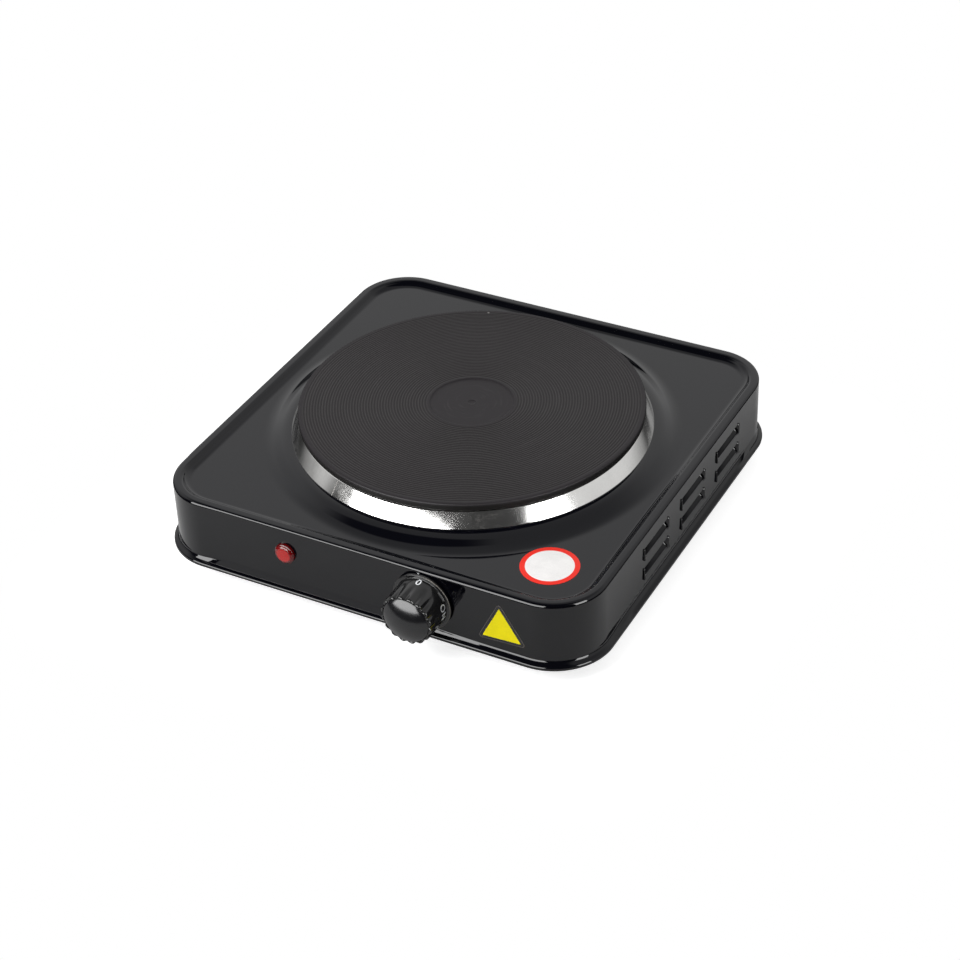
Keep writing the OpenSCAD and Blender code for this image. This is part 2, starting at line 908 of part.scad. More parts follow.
module bimetal_button() {
    color("#ece7da")
        stand()
            behind_panel()
                translate([button_x, 0, 0]) {
                    y_cylinder(button_r, button_tip_y, bimetal_y);
                    y_cylinder(1, bimetal_y, bimetal_y + bimetal_t + 0.3);
                }
}

// The pin slides in the shaft's end and pushes the contact arm.
module push_pin() {
    color("#ece7da")
        stand() behind_panel() y_cylinder(push_r, shaft_end_y - push_depth + 2, arm_y - push_gap);
}

module adjusting_shaft() {
    color("#c8cacc")
        stand()
            behind_panel()
                difference() {
                    union() {
                        y_cylinder(shaft_r, -wall - shaft_front, shaft_end_y);
                        y_cylinder(shaft_collar_r, shaft_end_y - shaft_collar_t, shaft_end_y);
                    }
                    y_cylinder(push_r + run_gap, shaft_end_y - push_depth, shaft_end_y + past);
                    box(
                        [-2 * shaft_r, -wall - shaft_front - past, shaft_flat],
                        [2 * shaft_r, -wall - 4, 2 * shaft_r]
                    );
                }
}

// A round hole with a flat side, which leaves room for the spring clip over the shaft's flat.
module knob_bore() {
    translate([0, 0, -past])
        difference() {
            cylinder(r = shaft_r + fit_gap, h = shaft_front + past);
            translate([0, shaft_flat + clip_t + fit_gap + shaft_r, 0])
                cube([4 * shaft_r, 2 * shaft_r, 4 * knob_web_z], center = true);
        }
}

// The fluted grip's outline.
module grip_outline() {
    difference() {
        circle(grip_r);
        for (i = [0:flute_count - 1])
            rotate((i + 0.5) * 360 / flute_count) translate([grip_r + flute_r / 2, 0]) circle(flute_r);
    }
}

module knob() {
    flare_z = dial_gap + 8;
    color("#1b1b1d")
        stand()
            before_panel(knob_x, knob_z)
                difference() {
                    union() {
                        rotate_extrude()
                            polygon([
                                [0, dial_gap], [dial_r, dial_gap], [dial_r, dial_gap + dial_edge],
                                [(dial_r + grip_r) / 2, dial_gap + 4.6], [grip_r, flare_z], [0, flare_z]
                            ]);
                        translate([0, 0, flare_z]) linear_extrude(height = grip_len - flare_z) grip_outline();
                    }
                    translate([0, 0, grip_len - cap_seat]) cylinder(r = cap_r, h = cap_seat + past);
                    difference() {
                        cylinder(r = knob_hollow_r, h = knob_web_z);
                        cylinder(r = hub_wall_r, h = knob_web_z + past);
                    }
                    cylinder(r = dial_hollow_r, h = dial_hollow_z);
                    knob_bore();
                }
}

module knob_cap() {
    rise = cap_dome;
    foot_r = cap_r - fit_gap;
    sphere_r = (foot_r * foot_r + rise * rise) / (2 * rise);
    reach = asin(foot_r / sphere_r);
    color("#202023")
        stand()
            before_panel(knob_x, knob_z)
                rotate_extrude()
                    polygon(concat(
                        [[0, grip_len - cap_seat], [foot_r, grip_len - cap_seat]],
                        arc([0, grip_len + rise - sphere_r], sphere_r, 90 - reach, 90, 10)
                    ));
}

module knob_spring_clip() {
    color("silver")
        stand()
            before_panel(knob_x, knob_z)
                box(
                    [-clip_half_w, shaft_flat, dial_hollow_z + 0.5],
                    [clip_half_w, shaft_flat + clip_t, dial_hollow_z + 0.5 + clip_len]
                );
}

// The lens is one moulding: a domed button outside and a hollow tail through the panel.
module lamp_lens() {
    sphere_r = (lens_r * lens_r + lens_dome * lens_dome) / (2 * lens_dome);
    reach = asin(lens_r / sphere_r);
    tail_r = lamp_hole_r - run_gap;
    color("#c0282c")
        stand()
            before_panel(lamp_x, lamp_z)
                rotate_extrude()
                    polygon(concat(
                        [[0, 0], [tail_r - lens_tail_t, 0], [tail_r - lens_tail_t, -lens_tail]],
                        [[tail_r, -lens_tail], [tail_r, 0], [lens_r, 0]],
                        arc([0, lens_h + lens_dome - sphere_r], sphere_r, 90 - reach, 90, 6)
                    ));
}

module lamp_retainer() {
    color("silver")
        stand()
            translate([lamp_x, 0, lamp_z]) y_tube(retainer_r, lamp_hole_r, front_in, front_in + retainer_t);
}

module lamp_plug() {
    inner_r = lamp_hole_r - run_gap - lens_tail_t;
    color("#e8e8e4")
        stand()
            translate([lamp_x, plug_y, lamp_z])
                difference() {
                    y_cylinder(inner_r, 0, plug_len);
                    for (x = [-lead_gap, lead_gap])
                        translate([x, 0, 0]) y_cylinder(lead_r, -past, plug_len + past);
                }
}

module neon_bulb() {
    color("#e0a080")
        stand()
            translate([lamp_x, plug_y - bulb_len, lamp_z]) y_cylinder(bulb_r, 0, bulb_len);
}

module lamp_resistor() {
    color("#b08850")
        stand()
            translate([lamp_x - lead_gap, plug_y + plug_len + 0.3, lamp_z])
                y_tube(resistor_r, lead_r, 0, resistor_len);
}

// Places its children at the middle of the mains block's foot.
module at_block() {
    translate([block_x, body_d / 2 - wall - shelf_depth + 1 + block[1] / 2, shelf_z + shelf_t]) children();
}

module mains_terminal_block() {
    color("#e8e2d4")
        stand()
            at_block()
                difference() {
                    translate([-block[0] / 2, -block[1] / 2, 0]) cube(block);
                    for (i = [-1:1]) {
                        translate([i * pole_pitch, 0, insert_z + insert[2] / 2])
                            cube(insert + [0, past, 0], center = true);
                        for (y = [-pole_screw_y, pole_screw_y])
                            translate([i * pole_pitch, y, insert_z]) cylinder(r = 2.4, h = block[2]);
                    }
                    for (x = [-1, 1])
                        translate([x * pole_pitch / 2, block_screw_y, -past]) {
                            cylinder(r = block_screw_r, h = block[2] + 2 * past);
                            translate([0, 0, block[2] - 3 + past]) cylinder(r = 2.4, h = 3 + past);
                        }
                }
}

// A brass bar in each pole, bored along its length for the wires and tapped for two screws.
module mains_terminal_inserts() {
    color("#c2a050")
        stand()
            at_block()
                for (i = [-1:1])
                    translate([i * pole_pitch, 0, insert_z + insert[2] / 2])
                        difference() {
                            cube(insert, center = true);
                            y_cylinder(insert_bore_r, -insert[1], insert[1]);
                            for (y = [-pole_screw_y, pole_screw_y])
                                translate([0, y, 0]) cylinder(r = pole_screw_r, h = insert[2]);
                        }
}

module mains_terminal_screws() {
    color("silver")
        stand()
            at_block()
                for (i = [-1:1], y = [-pole_screw_y, pole_screw_y])
                    translate([i * pole_pitch, y, insert_z + insert[2] / 2 + insert_bore_r - 0.4])
                        cylinder(r = pole_screw_r, h = pole_screw_h);
}

// An angle welded to the back wall, whose shelf carries the terminal block.
module terminal_bracket() {
    back = body_d / 2 - wall;
    left = block_x - shelf_half_w;
    right = block_x + shelf_half_w;
    color("silver")
        stand()
            difference() {
                union() {
                    box([left, back - shelf_depth, shelf_z], [right, back, shelf_z + shelf_t]);
                    box([left, back - shelf_t, shelf_z], [right, back, shelf_z + shelf_leg_h]);
                }
                at_block()
                    for (x = [-1, 1])
                        translate([x * pole_pitch / 2, block_screw_y, -shelf_t - past])
                            cylinder(r = block_screw_r, h = shelf_t + 2 * past);
            }
}

module terminal_block_screws() {
    color("silver")
        stand()
            at_block()
                for (x = [-1, 1])
                    translate([x * pole_pitch / 2, block_screw_y, 0]) {
                        translate([0, 0, -shelf_t - 1.5])
                            cylinder(r = block_screw_r, h = block[2] - 3 + shelf_t + 1.5);
                        translate([0, 0, block[2] - 3]) cylinder(r = 2.3, h = 1.6);
                    }
}

// A snap-in bush: a flange outside, a neck in the wall's hole and a barb inside.
module cord_gland() {
    color("#1c1c1c")
        stand()
            translate([gland_x, body_d / 2, gland_z])
                rotate([-90, 0, 0])
                    difference() {
                        rotate_extrude()
                            polygon([
                                [0, -gland_inside - wall], [gland_bore_r + 1.3, -gland_inside - wall],
                                [gland_barb_r, -wall - 1.2], [gland_barb_r, -wall], [gland_hole_r, -wall],
                                [gland_hole_r, 0], [gland_flange_r, 0],
                                [gland_flange_r, gland_flange_t - 0.8],
                                [gland_flange_r - 0.8, gland_flange_t],
                                [gland_bore_r + 2.1, gland_flange_t],
                                [gland_bore_r + 1.5, gland_reach - 0.5], [gland_bore_r + 1, gland_reach],
                                [0, gland_reach]
                            ]);
                        translate([0, 0, -gland_inside - wall - past])
                            cylinder(r = gland_bore_r, h = gland_inside + wall + gland_reach + 2 * past);
                    }
}

// Points along a route of hand-chosen corners, with each corner rounded.
function rounded(route, steps) = concat(
    [route[0]],
    [
        for (i = [1:len(route) - 2])
            let (
                before = route[i - 1] - route[i],
                after = route[i + 1] - route[i],
                reach = min(norm(before), norm(after)) * 0.45,
                a = route[i] + before / norm(before) * reach,
                b = route[i] + after / norm(after) * reach
            )
            for (s = [0:steps])
                let (t = s / steps) (1 - t) * (1 - t) * a + 2 * t * (1 - t) * route[i] + t * t * b
    ],
    [route[len(route) - 1]]
);

function unit(v) = v / norm(v);

// Carries the ring's sideways direction from one point to the next, square to the wire.
function sideways(directions, i, last) =
    i == len(directions)
        ? []
        : let (side = unit(last - directions[i] * (last * directions[i])))
            concat([side], sideways(directions, i + 1, side));

// A closed tube along a route.
module wire(route, r) {
    sides = 10;
    points = rounded(route, 3);
    n = len(points);
    directions = [for (i = [0:n - 1]) unit(points[min(i + 1, n - 1)] - points[max(i - 1, 0)])];
    start = abs(directions[0][2]) < 0.9 ? [0, 0, 1] : [1, 0, 0];
    across = sideways(directions, 0, start);
    rings = [
        for (i = [0:n - 1], j = [0:sides - 1])
            let (a = 360 * j / sides, up = cross(directions[i], across[i]))
                points[i] + r * (cos(a) * across[i] + sin(a) * up)
    ];
    walls = [
        for (i = [0:n - 2], j = [0:sides - 1])
            let (k = (j + 1) % sides)
                [i * sides + j, (i + 1) * sides + j, (i + 1) * sides + k, i * sides + k]
    ];
    first = [for (j = [0:sides - 1]) j];
    final = [for (j = [sides - 1:-1:0]) (n - 1) * sides + j];
    polyhedron(rings, concat(walls, [first, final]));
}

module wire_live() {
    color("#6b4a2c") stand() wire(live_route, wire_r);
}

module wire_switched_live() {
    color("#222222") stand() wire(switched_route, wire_r);
}

module wire_neutral() {
    color("#2a4a8a") stand() wire(neutral_route, wire_r);
}

module wire_earth() {
    color("#3f8a3a") stand() wire(earth_route, wire_r);
}

module lamp_leads() {
    color("#dddddd")
        stand() {
            wire(lead_a_route, lead_r);
            wire(lead_b_route, lead_r);
        }
}

module round_label() {
    color("white")
        stand()
            translate([body_w / 2 - round_label_inset, round_label_inset - body_d / 2, deck_z])
                cylinder(r = round_label_r, h = label_t);
}

// Moves a corner of the front label outward from the label's middle, for its backing's border.
function spread(corner, by) =
    let (middle = (label_apex + label_left + label_right) / 3, away = corner - middle)
        corner + away / norm(away) * by;

module front_label_backing() {
    color("#3a3638")
        stand()
            before_panel(0, 0)
                linear_extrude(height = backing_t)
                    polygon([
                        spread(label_apex, 2 * label_border), spread(label_left, 2 * label_border),
                        spread(label_right, 2 * label_border)
                    ]);
}

module front_label() {
    color("#f2e01a")
        stand()
            before_panel(0, 0)
                translate([0, 0, backing_t])
                    linear_extrude(height = label_t) polygon([label_apex, label_left, label_right]);
}

body_shell();
corner_brackets();
base_plate();
foot(-1, -1);  // foot_front_left
foot(1, -1);  // foot_front_right
foot(-1, 1);  // foot_back_left
foot(1, 1);  // foot_back_right
foot_screws();
hot_plate();
trim_ring();
heating_coil_inner();
heating_coil_middle();
heating_coil_outer();
insulating_compound();
plate_back_cover();
heat_shield();
plate_stud();
mounting_bridge();
stud_washer();
earth_tag();
stud_nut();
plate_terminal_block();
plate_terminal_pins();
thermostat_frame();
thermostat_screws();
shaft_bush();
ceramic_stack();
stack_rivet();
contact_arm_terminal();
contact_arm();
moving_contact();
fixed_contact_blade();
fixed_contact();
bimetal_holder();
bimetal_blade();
bimetal_button();
push_pin();
adjusting_shaft();
knob();
knob_cap();
knob_spring_clip();
lamp_lens();
lamp_retainer();
lamp_plug();
neon_bulb();
lamp_resistor();
mains_terminal_block();
mains_terminal_inserts();
mains_terminal_screws();
terminal_bracket();
terminal_block_screws();
cord_gland();
wire_live();
wire_switched_live();
wire_neutral();
wire_earth();
lamp_leads();
round_label();
front_label_backing();
front_label();
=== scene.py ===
import json
from math import atan2, ceil, cos, pi, radians, sin, tan

import bmesh
import bpy
from mathutils import Matrix, Vector


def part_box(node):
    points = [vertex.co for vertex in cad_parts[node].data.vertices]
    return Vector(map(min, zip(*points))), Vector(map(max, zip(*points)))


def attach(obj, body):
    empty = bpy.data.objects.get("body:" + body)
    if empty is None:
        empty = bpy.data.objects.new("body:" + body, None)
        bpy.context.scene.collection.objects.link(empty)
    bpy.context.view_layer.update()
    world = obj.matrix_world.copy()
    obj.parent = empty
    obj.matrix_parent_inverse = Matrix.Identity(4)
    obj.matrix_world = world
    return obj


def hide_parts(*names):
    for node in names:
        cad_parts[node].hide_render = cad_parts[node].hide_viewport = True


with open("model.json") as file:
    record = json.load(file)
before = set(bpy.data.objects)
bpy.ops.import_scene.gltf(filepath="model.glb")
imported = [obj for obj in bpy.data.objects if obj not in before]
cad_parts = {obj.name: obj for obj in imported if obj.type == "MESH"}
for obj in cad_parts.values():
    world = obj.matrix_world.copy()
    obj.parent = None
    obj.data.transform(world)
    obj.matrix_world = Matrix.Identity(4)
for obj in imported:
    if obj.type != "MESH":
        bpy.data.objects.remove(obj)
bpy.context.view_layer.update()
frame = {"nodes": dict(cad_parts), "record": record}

nodes = frame["nodes"]
mm = 0.001
lipOut = 3.0  # how far the lip stands out from the wall, in mm

# Places and sizes that every piece is measured from
shellLow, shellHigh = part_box("body_shell")
plateLow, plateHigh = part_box("hot_plate")
ringLow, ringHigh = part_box("trim_ring")
knobLow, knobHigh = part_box("knob")
lensLow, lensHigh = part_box("lamp_lens")
centre = Vector(((plateLow.x + plateHigh.x) / 2, (plateLow.y + plateHigh.y) / 2, shellLow.z))
panelFoot = Vector((centre.x, shellLow.y + lipOut * mm, shellLow.z))
knobAxis = Vector(((knobLow.x + knobHigh.x) / 2, panelFoot.y, (knobLow.z + knobHigh.z) / 2))
lampAxis = Vector(((lensLow.x + lensHigh.x) / 2, panelFoot.y, (lensLow.z + lensHigh.z) / 2))
wallHalf = (shellHigh.x - shellLow.x) / 2 / mm - lipOut
plateRadius = (plateHigh.x - plateLow.x) / 2 / mm
plateTop, ringTop = (plateHigh.z - shellLow.z) / mm, (ringHigh.z - shellLow.z) / mm


def addObject(name, data):
    obj = bpy.data.objects.new(name, data)
    bpy.context.scene.collection.objects.link(obj)
    return obj


def makeObject(name, verts, faces, material, sharp=35, smooth=True):
    mesh = bpy.data.meshes.new(name)
    mesh.from_pydata([tuple(v) for v in verts], [], faces)
    mesh.update()
    mesh.polygons.foreach_set("use_smooth", [smooth] * len(mesh.polygons))
    if smooth:
        mesh.set_sharp_from_angle(angle=radians(sharp))
    mesh.materials.append(material)
    return addObject(name, mesh)


# Turns a flat outline with a radius at each corner into a fine one
def roundOutline(corners, steps=6, closed=False):
    points = []
    count = len(corners)
    for i, corner in enumerate(corners):
        here = Vector(corner[:2])
        radius = corner[2] if len(corner) > 2 else 0
        if radius == 0 or (not closed and i in (0, count - 1)):
            points.append(here)
            continue
        before = (Vector(corners[i - 1][:2]) - here).normalized()
        after = (Vector(corners[(i + 1) % count][:2]) - here).normalized()
        half = before.angle(after) / 2
        reach = radius / tan(half)
        middle = here + (before + after).normalized() * (radius / sin(half))
        start, end = here + before * reach, here + after * reach
        first, last = (atan2(p.y - middle.y, p.x - middle.x) for p in (start, end))
        turn = (last - first + pi) % (2 * pi) - pi
        for k in range(steps + 1):
            a = first + turn * k / steps
            points.append(middle + Vector((cos(a), sin(a))) * radius)
    return points


cornerSigns = ((1, 1), (-1, 1), (-1, -1), (1, -1))


# A rectangle with round corners about the point (x, y)
def roundRectangle(halfX, halfY, radius, steps, x=0.0, y=0.0):
    return roundOutline([(x + a * halfX, y + b * halfY, radius) for a, b in cornerSigns], steps, closed=True)


# Faces that join rings of points, each ring numbered on from the one before
def bridgeRings(rings, count):
    faces = []
    for i in range(rings - 1):
        for j in range(count):
            k = (j + 1) % count
            faces.append([i * count + j, i * count + k, (i + 1) * count + k, (i + 1) * count + j])
    return faces


# Turns an outline of (radius, height) in mm round an axis; toFrame puts a local point in the frame
def lathe(name, outline, around, material, toFrame, sharp=35):
    verts, faces, rings = [], [], []
    for radius, height in outline:
        first = len(verts)
        if radius < 1e-6:
            rings.append([first] * around)
            verts.append(toFrame(0, 0, height * mm))
        else:
            rings.append([first + j for j in range(around)])
            for j in range(around):
                a = 2 * pi * j / around
                verts.append(toFrame(radius * mm * cos(a), radius * mm * sin(a), height * mm))
    for lower, upper in zip(rings, rings[1:]):
        for j in range(around):
            k = (j + 1) % around
            loop = list(dict.fromkeys((lower[j], lower[k], upper[k], upper[j])))
            if len(loop) > 2:
                faces.append(loop)
    obj = makeObject(name, verts, faces, material, sharp)
    fixNormals(obj)
    return obj


def fixNormals(obj):
    bm = bmesh.new()
    bm.from_mesh(obj.data)
    bmesh.ops.remove_doubles(bm, verts=bm.verts, dist=1e-7)
    bmesh.ops.recalc_face_normals(bm, faces=bm.faces)
    bm.to_mesh(obj.data)
    bm.free()
    obj.data.update()


def aboutPlate(x, y, z):
    return centre + Vector((x, y, z))


# Local places whose height runs out of the front panel
def outOfPanel(origin):
    return lambda x, y, z: origin + Vector((x, -z, y))


aboutKnob, aboutLamp = outOfPanel(knobAxis), outOfPanel(lampAxis)


def evaluatedMesh(obj):
    graph = bpy.context.evaluated_depsgraph_get()
    return bpy.data.meshes.new_from_object(obj.evaluated_get(graph), depsgraph=graph)


# Replaces an object's mesh with its evaluated one, so that no modifier is left on it
def bake(obj):
    mesh, old = evaluatedMesh(obj), obj.data
    obj.modifiers.clear()
    obj.data = mesh
    mesh.name = obj.name
    bpy.data.meshes.remove(old)
    return obj


# The mesh of a flat curve or a word, still about its own origin
def curveMesh(curve):
    shape = addObject(curve.name, curve)
    mesh = evaluatedMesh(shape)
    bpy.data.objects.remove(shape)
    bpy.data.curves.remove(curve)
    return mesh


def giveThickness(obj, thickness, even=False):
    solid = obj.modifiers.new("sheet", "SOLIDIFY")
    solid.thickness = thickness * mm
    solid.offset = -1
    solid.use_even_offset = even
    return bake(obj)


# The helpers from here on build nodes, for shaders and geometry alike
def link(tree, output, target):
    tree.links.new(output, target)


# Links a socket to another one or sets it to a value, where a colour has no alpha
def feed(tree, socket, value):
    if isinstance(value, bpy.types.NodeSocket):
        tree.links.new(value, socket)
    elif value is not None:
        socket.default_value = (*value, 1.0) if socket.type == "RGBA" else value


# A new node's outputs; its inputs are given in their order or by name
def addNode(tree, kind, inputs=(), **settings):
    node = tree.nodes.new(kind)
    for name, value in settings.items():
        setattr(node, name, value)
    for place, value in inputs.items() if isinstance(inputs, dict) else enumerate(inputs):
        feed(tree, node.inputs[place], value)
    return node.outputs


def mathNode(tree, operation, a, b=None, c=None, clamp=False):
    return addNode(tree, "ShaderNodeMath", (a, b, c), operation=operation, use_clamp=clamp)[0]


def times(tree, first, *others):
    for other in others:
        first = mathNode(tree, "MULTIPLY", first, other)
    return first


def plus(tree, a, b, clamp=False):
    return mathNode(tree, "ADD", a, b, clamp=clamp)


def minus(tree, a, b):
    return mathNode(tree, "SUBTRACT", a, b)


def distance(tree, a, b):
    return mathNode(tree, "ABSOLUTE", minus(tree, a, b))


def vectorNode(tree, operation, a, b=None, scale=None):
    outputs = addNode(tree, "ShaderNodeVectorMath", (a, b, None, scale), operation=operation)
    return outputs["Value"] if operation == "LENGTH" else outputs[0]


# Drops a vector's part along an axis, as for the distance from a turned piece's axis
def acrossAxis(tree, vector, axis):
    return vectorNode(tree, "MULTIPLY", vector, (1.0, 0.0, 1.0) if axis == "y" else (1.0, 1.0, 0.0))


def axisDistance(tree, vector, axis):
    return vectorNode(tree, "LENGTH", acrossAxis(tree, vector, axis))


def splitVector(tree, vector):
    return addNode(tree, "ShaderNodeSeparateXYZ", (vector,))


def joinVector(tree, *parts):
    return addNode(tree, "ShaderNodeCombineXYZ", parts)[0]


def splitColour(tree, value):
    return addNode(tree, "ShaderNodeSeparateColor", (value,))


def greyColour(tree, level):
    return addNode(tree, "ShaderNodeCombineColor", (level, level, level))[0]


def mixColour(tree, share, a, b):
    return addNode(tree, "ShaderNodeMix", {0: share, 6: a, 7: b}, data_type="RGBA")[2]


def mixShader(tree, share, a, b):
    return addNode(tree, "ShaderNodeMixShader", (share, a, b))[0]


def mapRange(tree, value, low, high, outLow=0.0, outHigh=1.0, kind="LINEAR"):
    return addNode(tree, "ShaderNodeMapRange", (value, low, high, outLow, outHigh), interpolation_type=kind)[0]


def noiseNode(tree, vector, scale, detail=3.0, rough=0.5):
    inputs = {"Vector": vector, "Scale": scale, "Detail": detail, "Roughness": rough}
    return addNode(tree, "ShaderNodeTexNoise", inputs)["Fac"]


def stretchedNoise(tree, vector, stretch, detail=3.0, rough=0.5):
    return noiseNode(tree, vectorNode(tree, "MULTIPLY", vector, stretch), 1.0, detail, rough)


def cellNode(tree, vector, scale, spread=1.0, metric="EUCLIDEAN"):
    inputs = {"Vector": vector, "Scale": scale, "Randomness": spread}
    return addNode(tree, "ShaderNodeTexVoronoi", inputs, distance=metric)


def bumpNode(tree, height, strength, depth, normal=None):
    inputs = {"Strength": strength, "Distance": depth, "Height": height, "Normal": normal}
    return addNode(tree, "ShaderNodeBump", inputs)[0]


# Object coordinates, centred on a piece by a Mapping node where a point is given
def objectCoords(tree, shift=None):
    place = addNode(tree, "ShaderNodeTexCoord")["Object"]
    if shift is None:
        return place
    return addNode(tree, "ShaderNodeMapping", {"Vector": place, "Location": [-v for v in shift]})[0]


# A new node tree with its named inputs (label, kind, value) and outputs (label, kind)
def makeGroup(name, kind, inputs, outputs):
    group = bpy.data.node_groups.new(name, kind)
    for label, socketKind, value in inputs:
        socket = group.interface.new_socket(label, in_out="INPUT", socket_type="NodeSocket" + socketKind)
        if value is not None:
            socket.default_value = value
    for label, socketKind in outputs:
        group.interface.new_socket(label, in_out="OUTPUT", socket_type="NodeSocket" + socketKind)
    return group, group.nodes.new("NodeGroupInput").outputs, group.nodes.new("NodeGroupOutput").inputs


# Uneven tone: large soft patches and a fine grain, around the given colour
def buildToneGroup():
    group, source, target = makeGroup("unevenTone", "ShaderNodeTree", [
        ("Vector", "Vector", None), ("Colour", "Color", (0.5, 0.5, 0.5, 1)), ("Patch Scale", "Float", 30.0),
        ("Grain Scale", "Float", 900.0), ("Amount", "Float", 0.2), ("Roughness", "Float", 0.4),
        ("Roughness Spread", "Float", 0.1)], [("Colour", "Color"), ("Roughness", "Float"), ("Height", "Float")])
    patches = noiseNode(group, source["Vector"], source["Patch Scale"], 4.0, 0.55)
    grain = noiseNode(group, source["Vector"], source["Grain Scale"], 2.0, 0.6)
    both = plus(group, times(group, patches, 0.65), times(group, grain, 0.35))
    gain = plus(group, times(group, minus(group, both, 0.5), source["Amount"], 4.0), 1.0)
    link(group, vectorNode(group, "SCALE", source["Colour"], scale=gain), target["Colour"])
    spread = times(group, minus(group, patches, 0.5), source["Roughness Spread"], 2.0)
    link(group, plus(group, spread, source["Roughness"], clamp=True), target["Roughness"])
    link(group, grain, target["Height"])
    return group


# Distance from an upright axis and the angle round it, for turned and rolled finishes
def buildPolarGroup():
    group, source, target = makeGroup(
        "polarPlace", "ShaderNodeTree", [("Vector", "Vector", None)],
        [("Radius", "Float"), ("Angle", "Float"), ("Rolled", "Vector")])
    x, y, z = splitVector(group, source["Vector"])
    radius = axisDistance(group, source["Vector"], "z")
    angle = mathNode(group, "ARCTAN2", y, x)
    link(group, radius, target["Radius"])
    link(group, angle, target["Angle"])
    link(group, joinVector(group, radius, times(group, angle, 0.01), z), target["Rolled"])
    return group


toneGroup = buildToneGroup()
polarGroup = buildPolarGroup()


def useGroup(tree, group, **values):
    inputs = {key.replace("_", " "): value for key, value in values.items()}
    return addNode(tree, "ShaderNodeGroup", inputs, node_tree=group)


def addTone(tree, place, base, patches, grain, amount, rough, spread):
    tone = useGroup(tree, toneGroup, Vector=place, Colour=base, Patch_Scale=patches, Grain_Scale=grain,
                    Amount=amount, Roughness=rough, Roughness_Spread=spread)
    return tone["Colour"], tone["Roughness"], tone["Height"]


def newMaterial(name):
    material = bpy.data.materials.new(name)
    material.use_nodes = True
    return material, material.node_tree, material.node_tree.nodes["Principled BSDF"]


def setInputs(tree, node, values):
    for name, value in values.items():
        feed(tree, node.inputs[name], value)


def finishShader(tree, shader, base, rough, normal, fixed=None):
    setInputs(tree, shader, {"Base Color": base, "Roughness": rough, "Normal": normal, **(fixed or {})})


# Another colour over a finished material's own, where the mask is one
def paintOver(tree, shader, mask, tint):
    base = shader.inputs["Base Color"]
    link(tree, mixColour(tree, mask, base.links[0].from_socket, tint), base)


enamelLook = {
    "base": (0.0015, 0.0016, 0.0033), "roughness": 0.05, "spread": 0.02, "waveScale": 16.0, "waveDepth": 0.00006,
    "peelScale": 420.0, "peelDepth": 0.0000015, "ior": 1.44,
}


def enamelMaterial():
    s = enamelLook
    material, tree, shader = newMaterial("blackEnamel")
    place = objectCoords(tree)
    shade, rough, _ = addTone(tree, place, s["base"], 22.0, 1500.0, 0.25, s["roughness"], s["spread"])
    wave = bumpNode(tree, noiseNode(tree, place, s["waveScale"], 1.0), 1.0, s["waveDepth"])
    peel = bumpNode(tree, noiseNode(tree, place, s["peelScale"], 2.0), 1.0, s["peelDepth"], wave)
    finishShader(tree, shader, shade, rough, peel, {"IOR": s["ior"]})
    return material


castLook = {
    "base": (0.0168, 0.0143, 0.0163), "light": (0.034, 0.0305, 0.0325), "side": (0.006, 0.005, 0.0045),
    "crest": (0.045, 0.0415, 0.0405), "valley": (0.007, 0.006, 0.006), "fleck": (0.5, 0.48, 0.45), "roughness": 0.5,
    "gloss": 0.25, "flecks": 0.4, "fleckScale": 62.0, "crestHighlight": 0.6, "grooveShade": 0.75, "sideShadeFrom": 1.1, "sideShadeTo": 1.8,
}


def castMaterial():
    s, face = castLook, plateSet
    material, tree, shader = newMaterial("blackenedCastIron")
    place = objectCoords(tree, centre)
    polar = useGroup(tree, polarGroup, Vector=place)
    shade, rough, grain = addTone(tree, place, s["base"], 26.0, 1100.0, 0.26, s["roughness"], 0.08)
    streaks = stretchedNoise(tree, polar["Rolled"], (900.0, 120.0, 300.0))
    marks = mapRange(tree, streaks, 0.55, 0.8)
    shade = mixColour(tree, times(tree, marks, 0.5), shade, s["light"])
    # Painted shade in the grooves and a painted highlight on the crests between them, so the turned grooves read
    # stronger
    turn = times(tree, mathNode(tree, "DIVIDE", polar["Radius"], face["pitch"] * mm), 2 * pi)
    wave = mathNode(tree, "MULTIPLY_ADD", mathNode(tree, "COSINE", turn), 0.5, 0.5)
    span = times(
        tree, mapRange(tree, polar["Radius"], face["inner"] * mm, (face["inner"] + face["fade"]) * mm),
        mapRange(tree, polar["Radius"], face["outer"] * mm, (face["outer"] - face["fade"]) * mm))
    crestHighlight = times(tree, mathNode(tree, "POWER", wave, 3.0), times(tree, span, s["crestHighlight"]))
    grooveShade = times(tree, mathNode(tree, "POWER", minus(tree, 1.0, wave), 2.0), times(tree, span, s["grooveShade"]))
    shade = mixColour(tree, crestHighlight, shade, s["crest"])
    shade = mixColour(tree, grooveShade, shade, s["valley"])
    # Painted shade: the edge below the cooking face is painted darker than the top, as less light falls on it
    height = splitVector(tree, place)[2]
    sideShade = mapRange(tree, height, (plateTop - s["sideShadeFrom"]) * mm, (plateTop - s["sideShadeTo"]) * mm)
    shade = mixColour(tree, sideShade, shade, s["side"])
    # A few pale flecks, in one cell of ten
    cells = cellNode(tree, place, s["fleckScale"])
    chosen = mapRange(tree, splitColour(tree, cells["Color"])[0], 0.90, 0.92)
    fleck = times(tree, mapRange(tree, cells["Distance"], 0.05, 0.02), chosen, s["flecks"])
    shade = mixColour(tree, fleck, shade, s["fleck"])
    bump = bumpNode(tree, streaks, 0.8, 0.00002, bumpNode(tree, grain, 0.6, 0.00003))
    rough = minus(tree, rough, times(tree, marks, 0.06))
    finishShader(tree, shader, shade, rough, bump, {"Specular IOR Level": s["gloss"]})
    return material


steelLook = {
    "base": (0.8, 0.795, 0.78), "worn": (0.46, 0.455, 0.44), "darkReflectionTint": (0.16, 0.15, 0.14), "seam": (0.2, 0.19, 0.18),
    "roughness": 0.115, "seamAngle": -1.93, "seamWidth": 0.004, "darkReflectionAngle": -1.02, "darkReflectionWidth": 0.045,
}


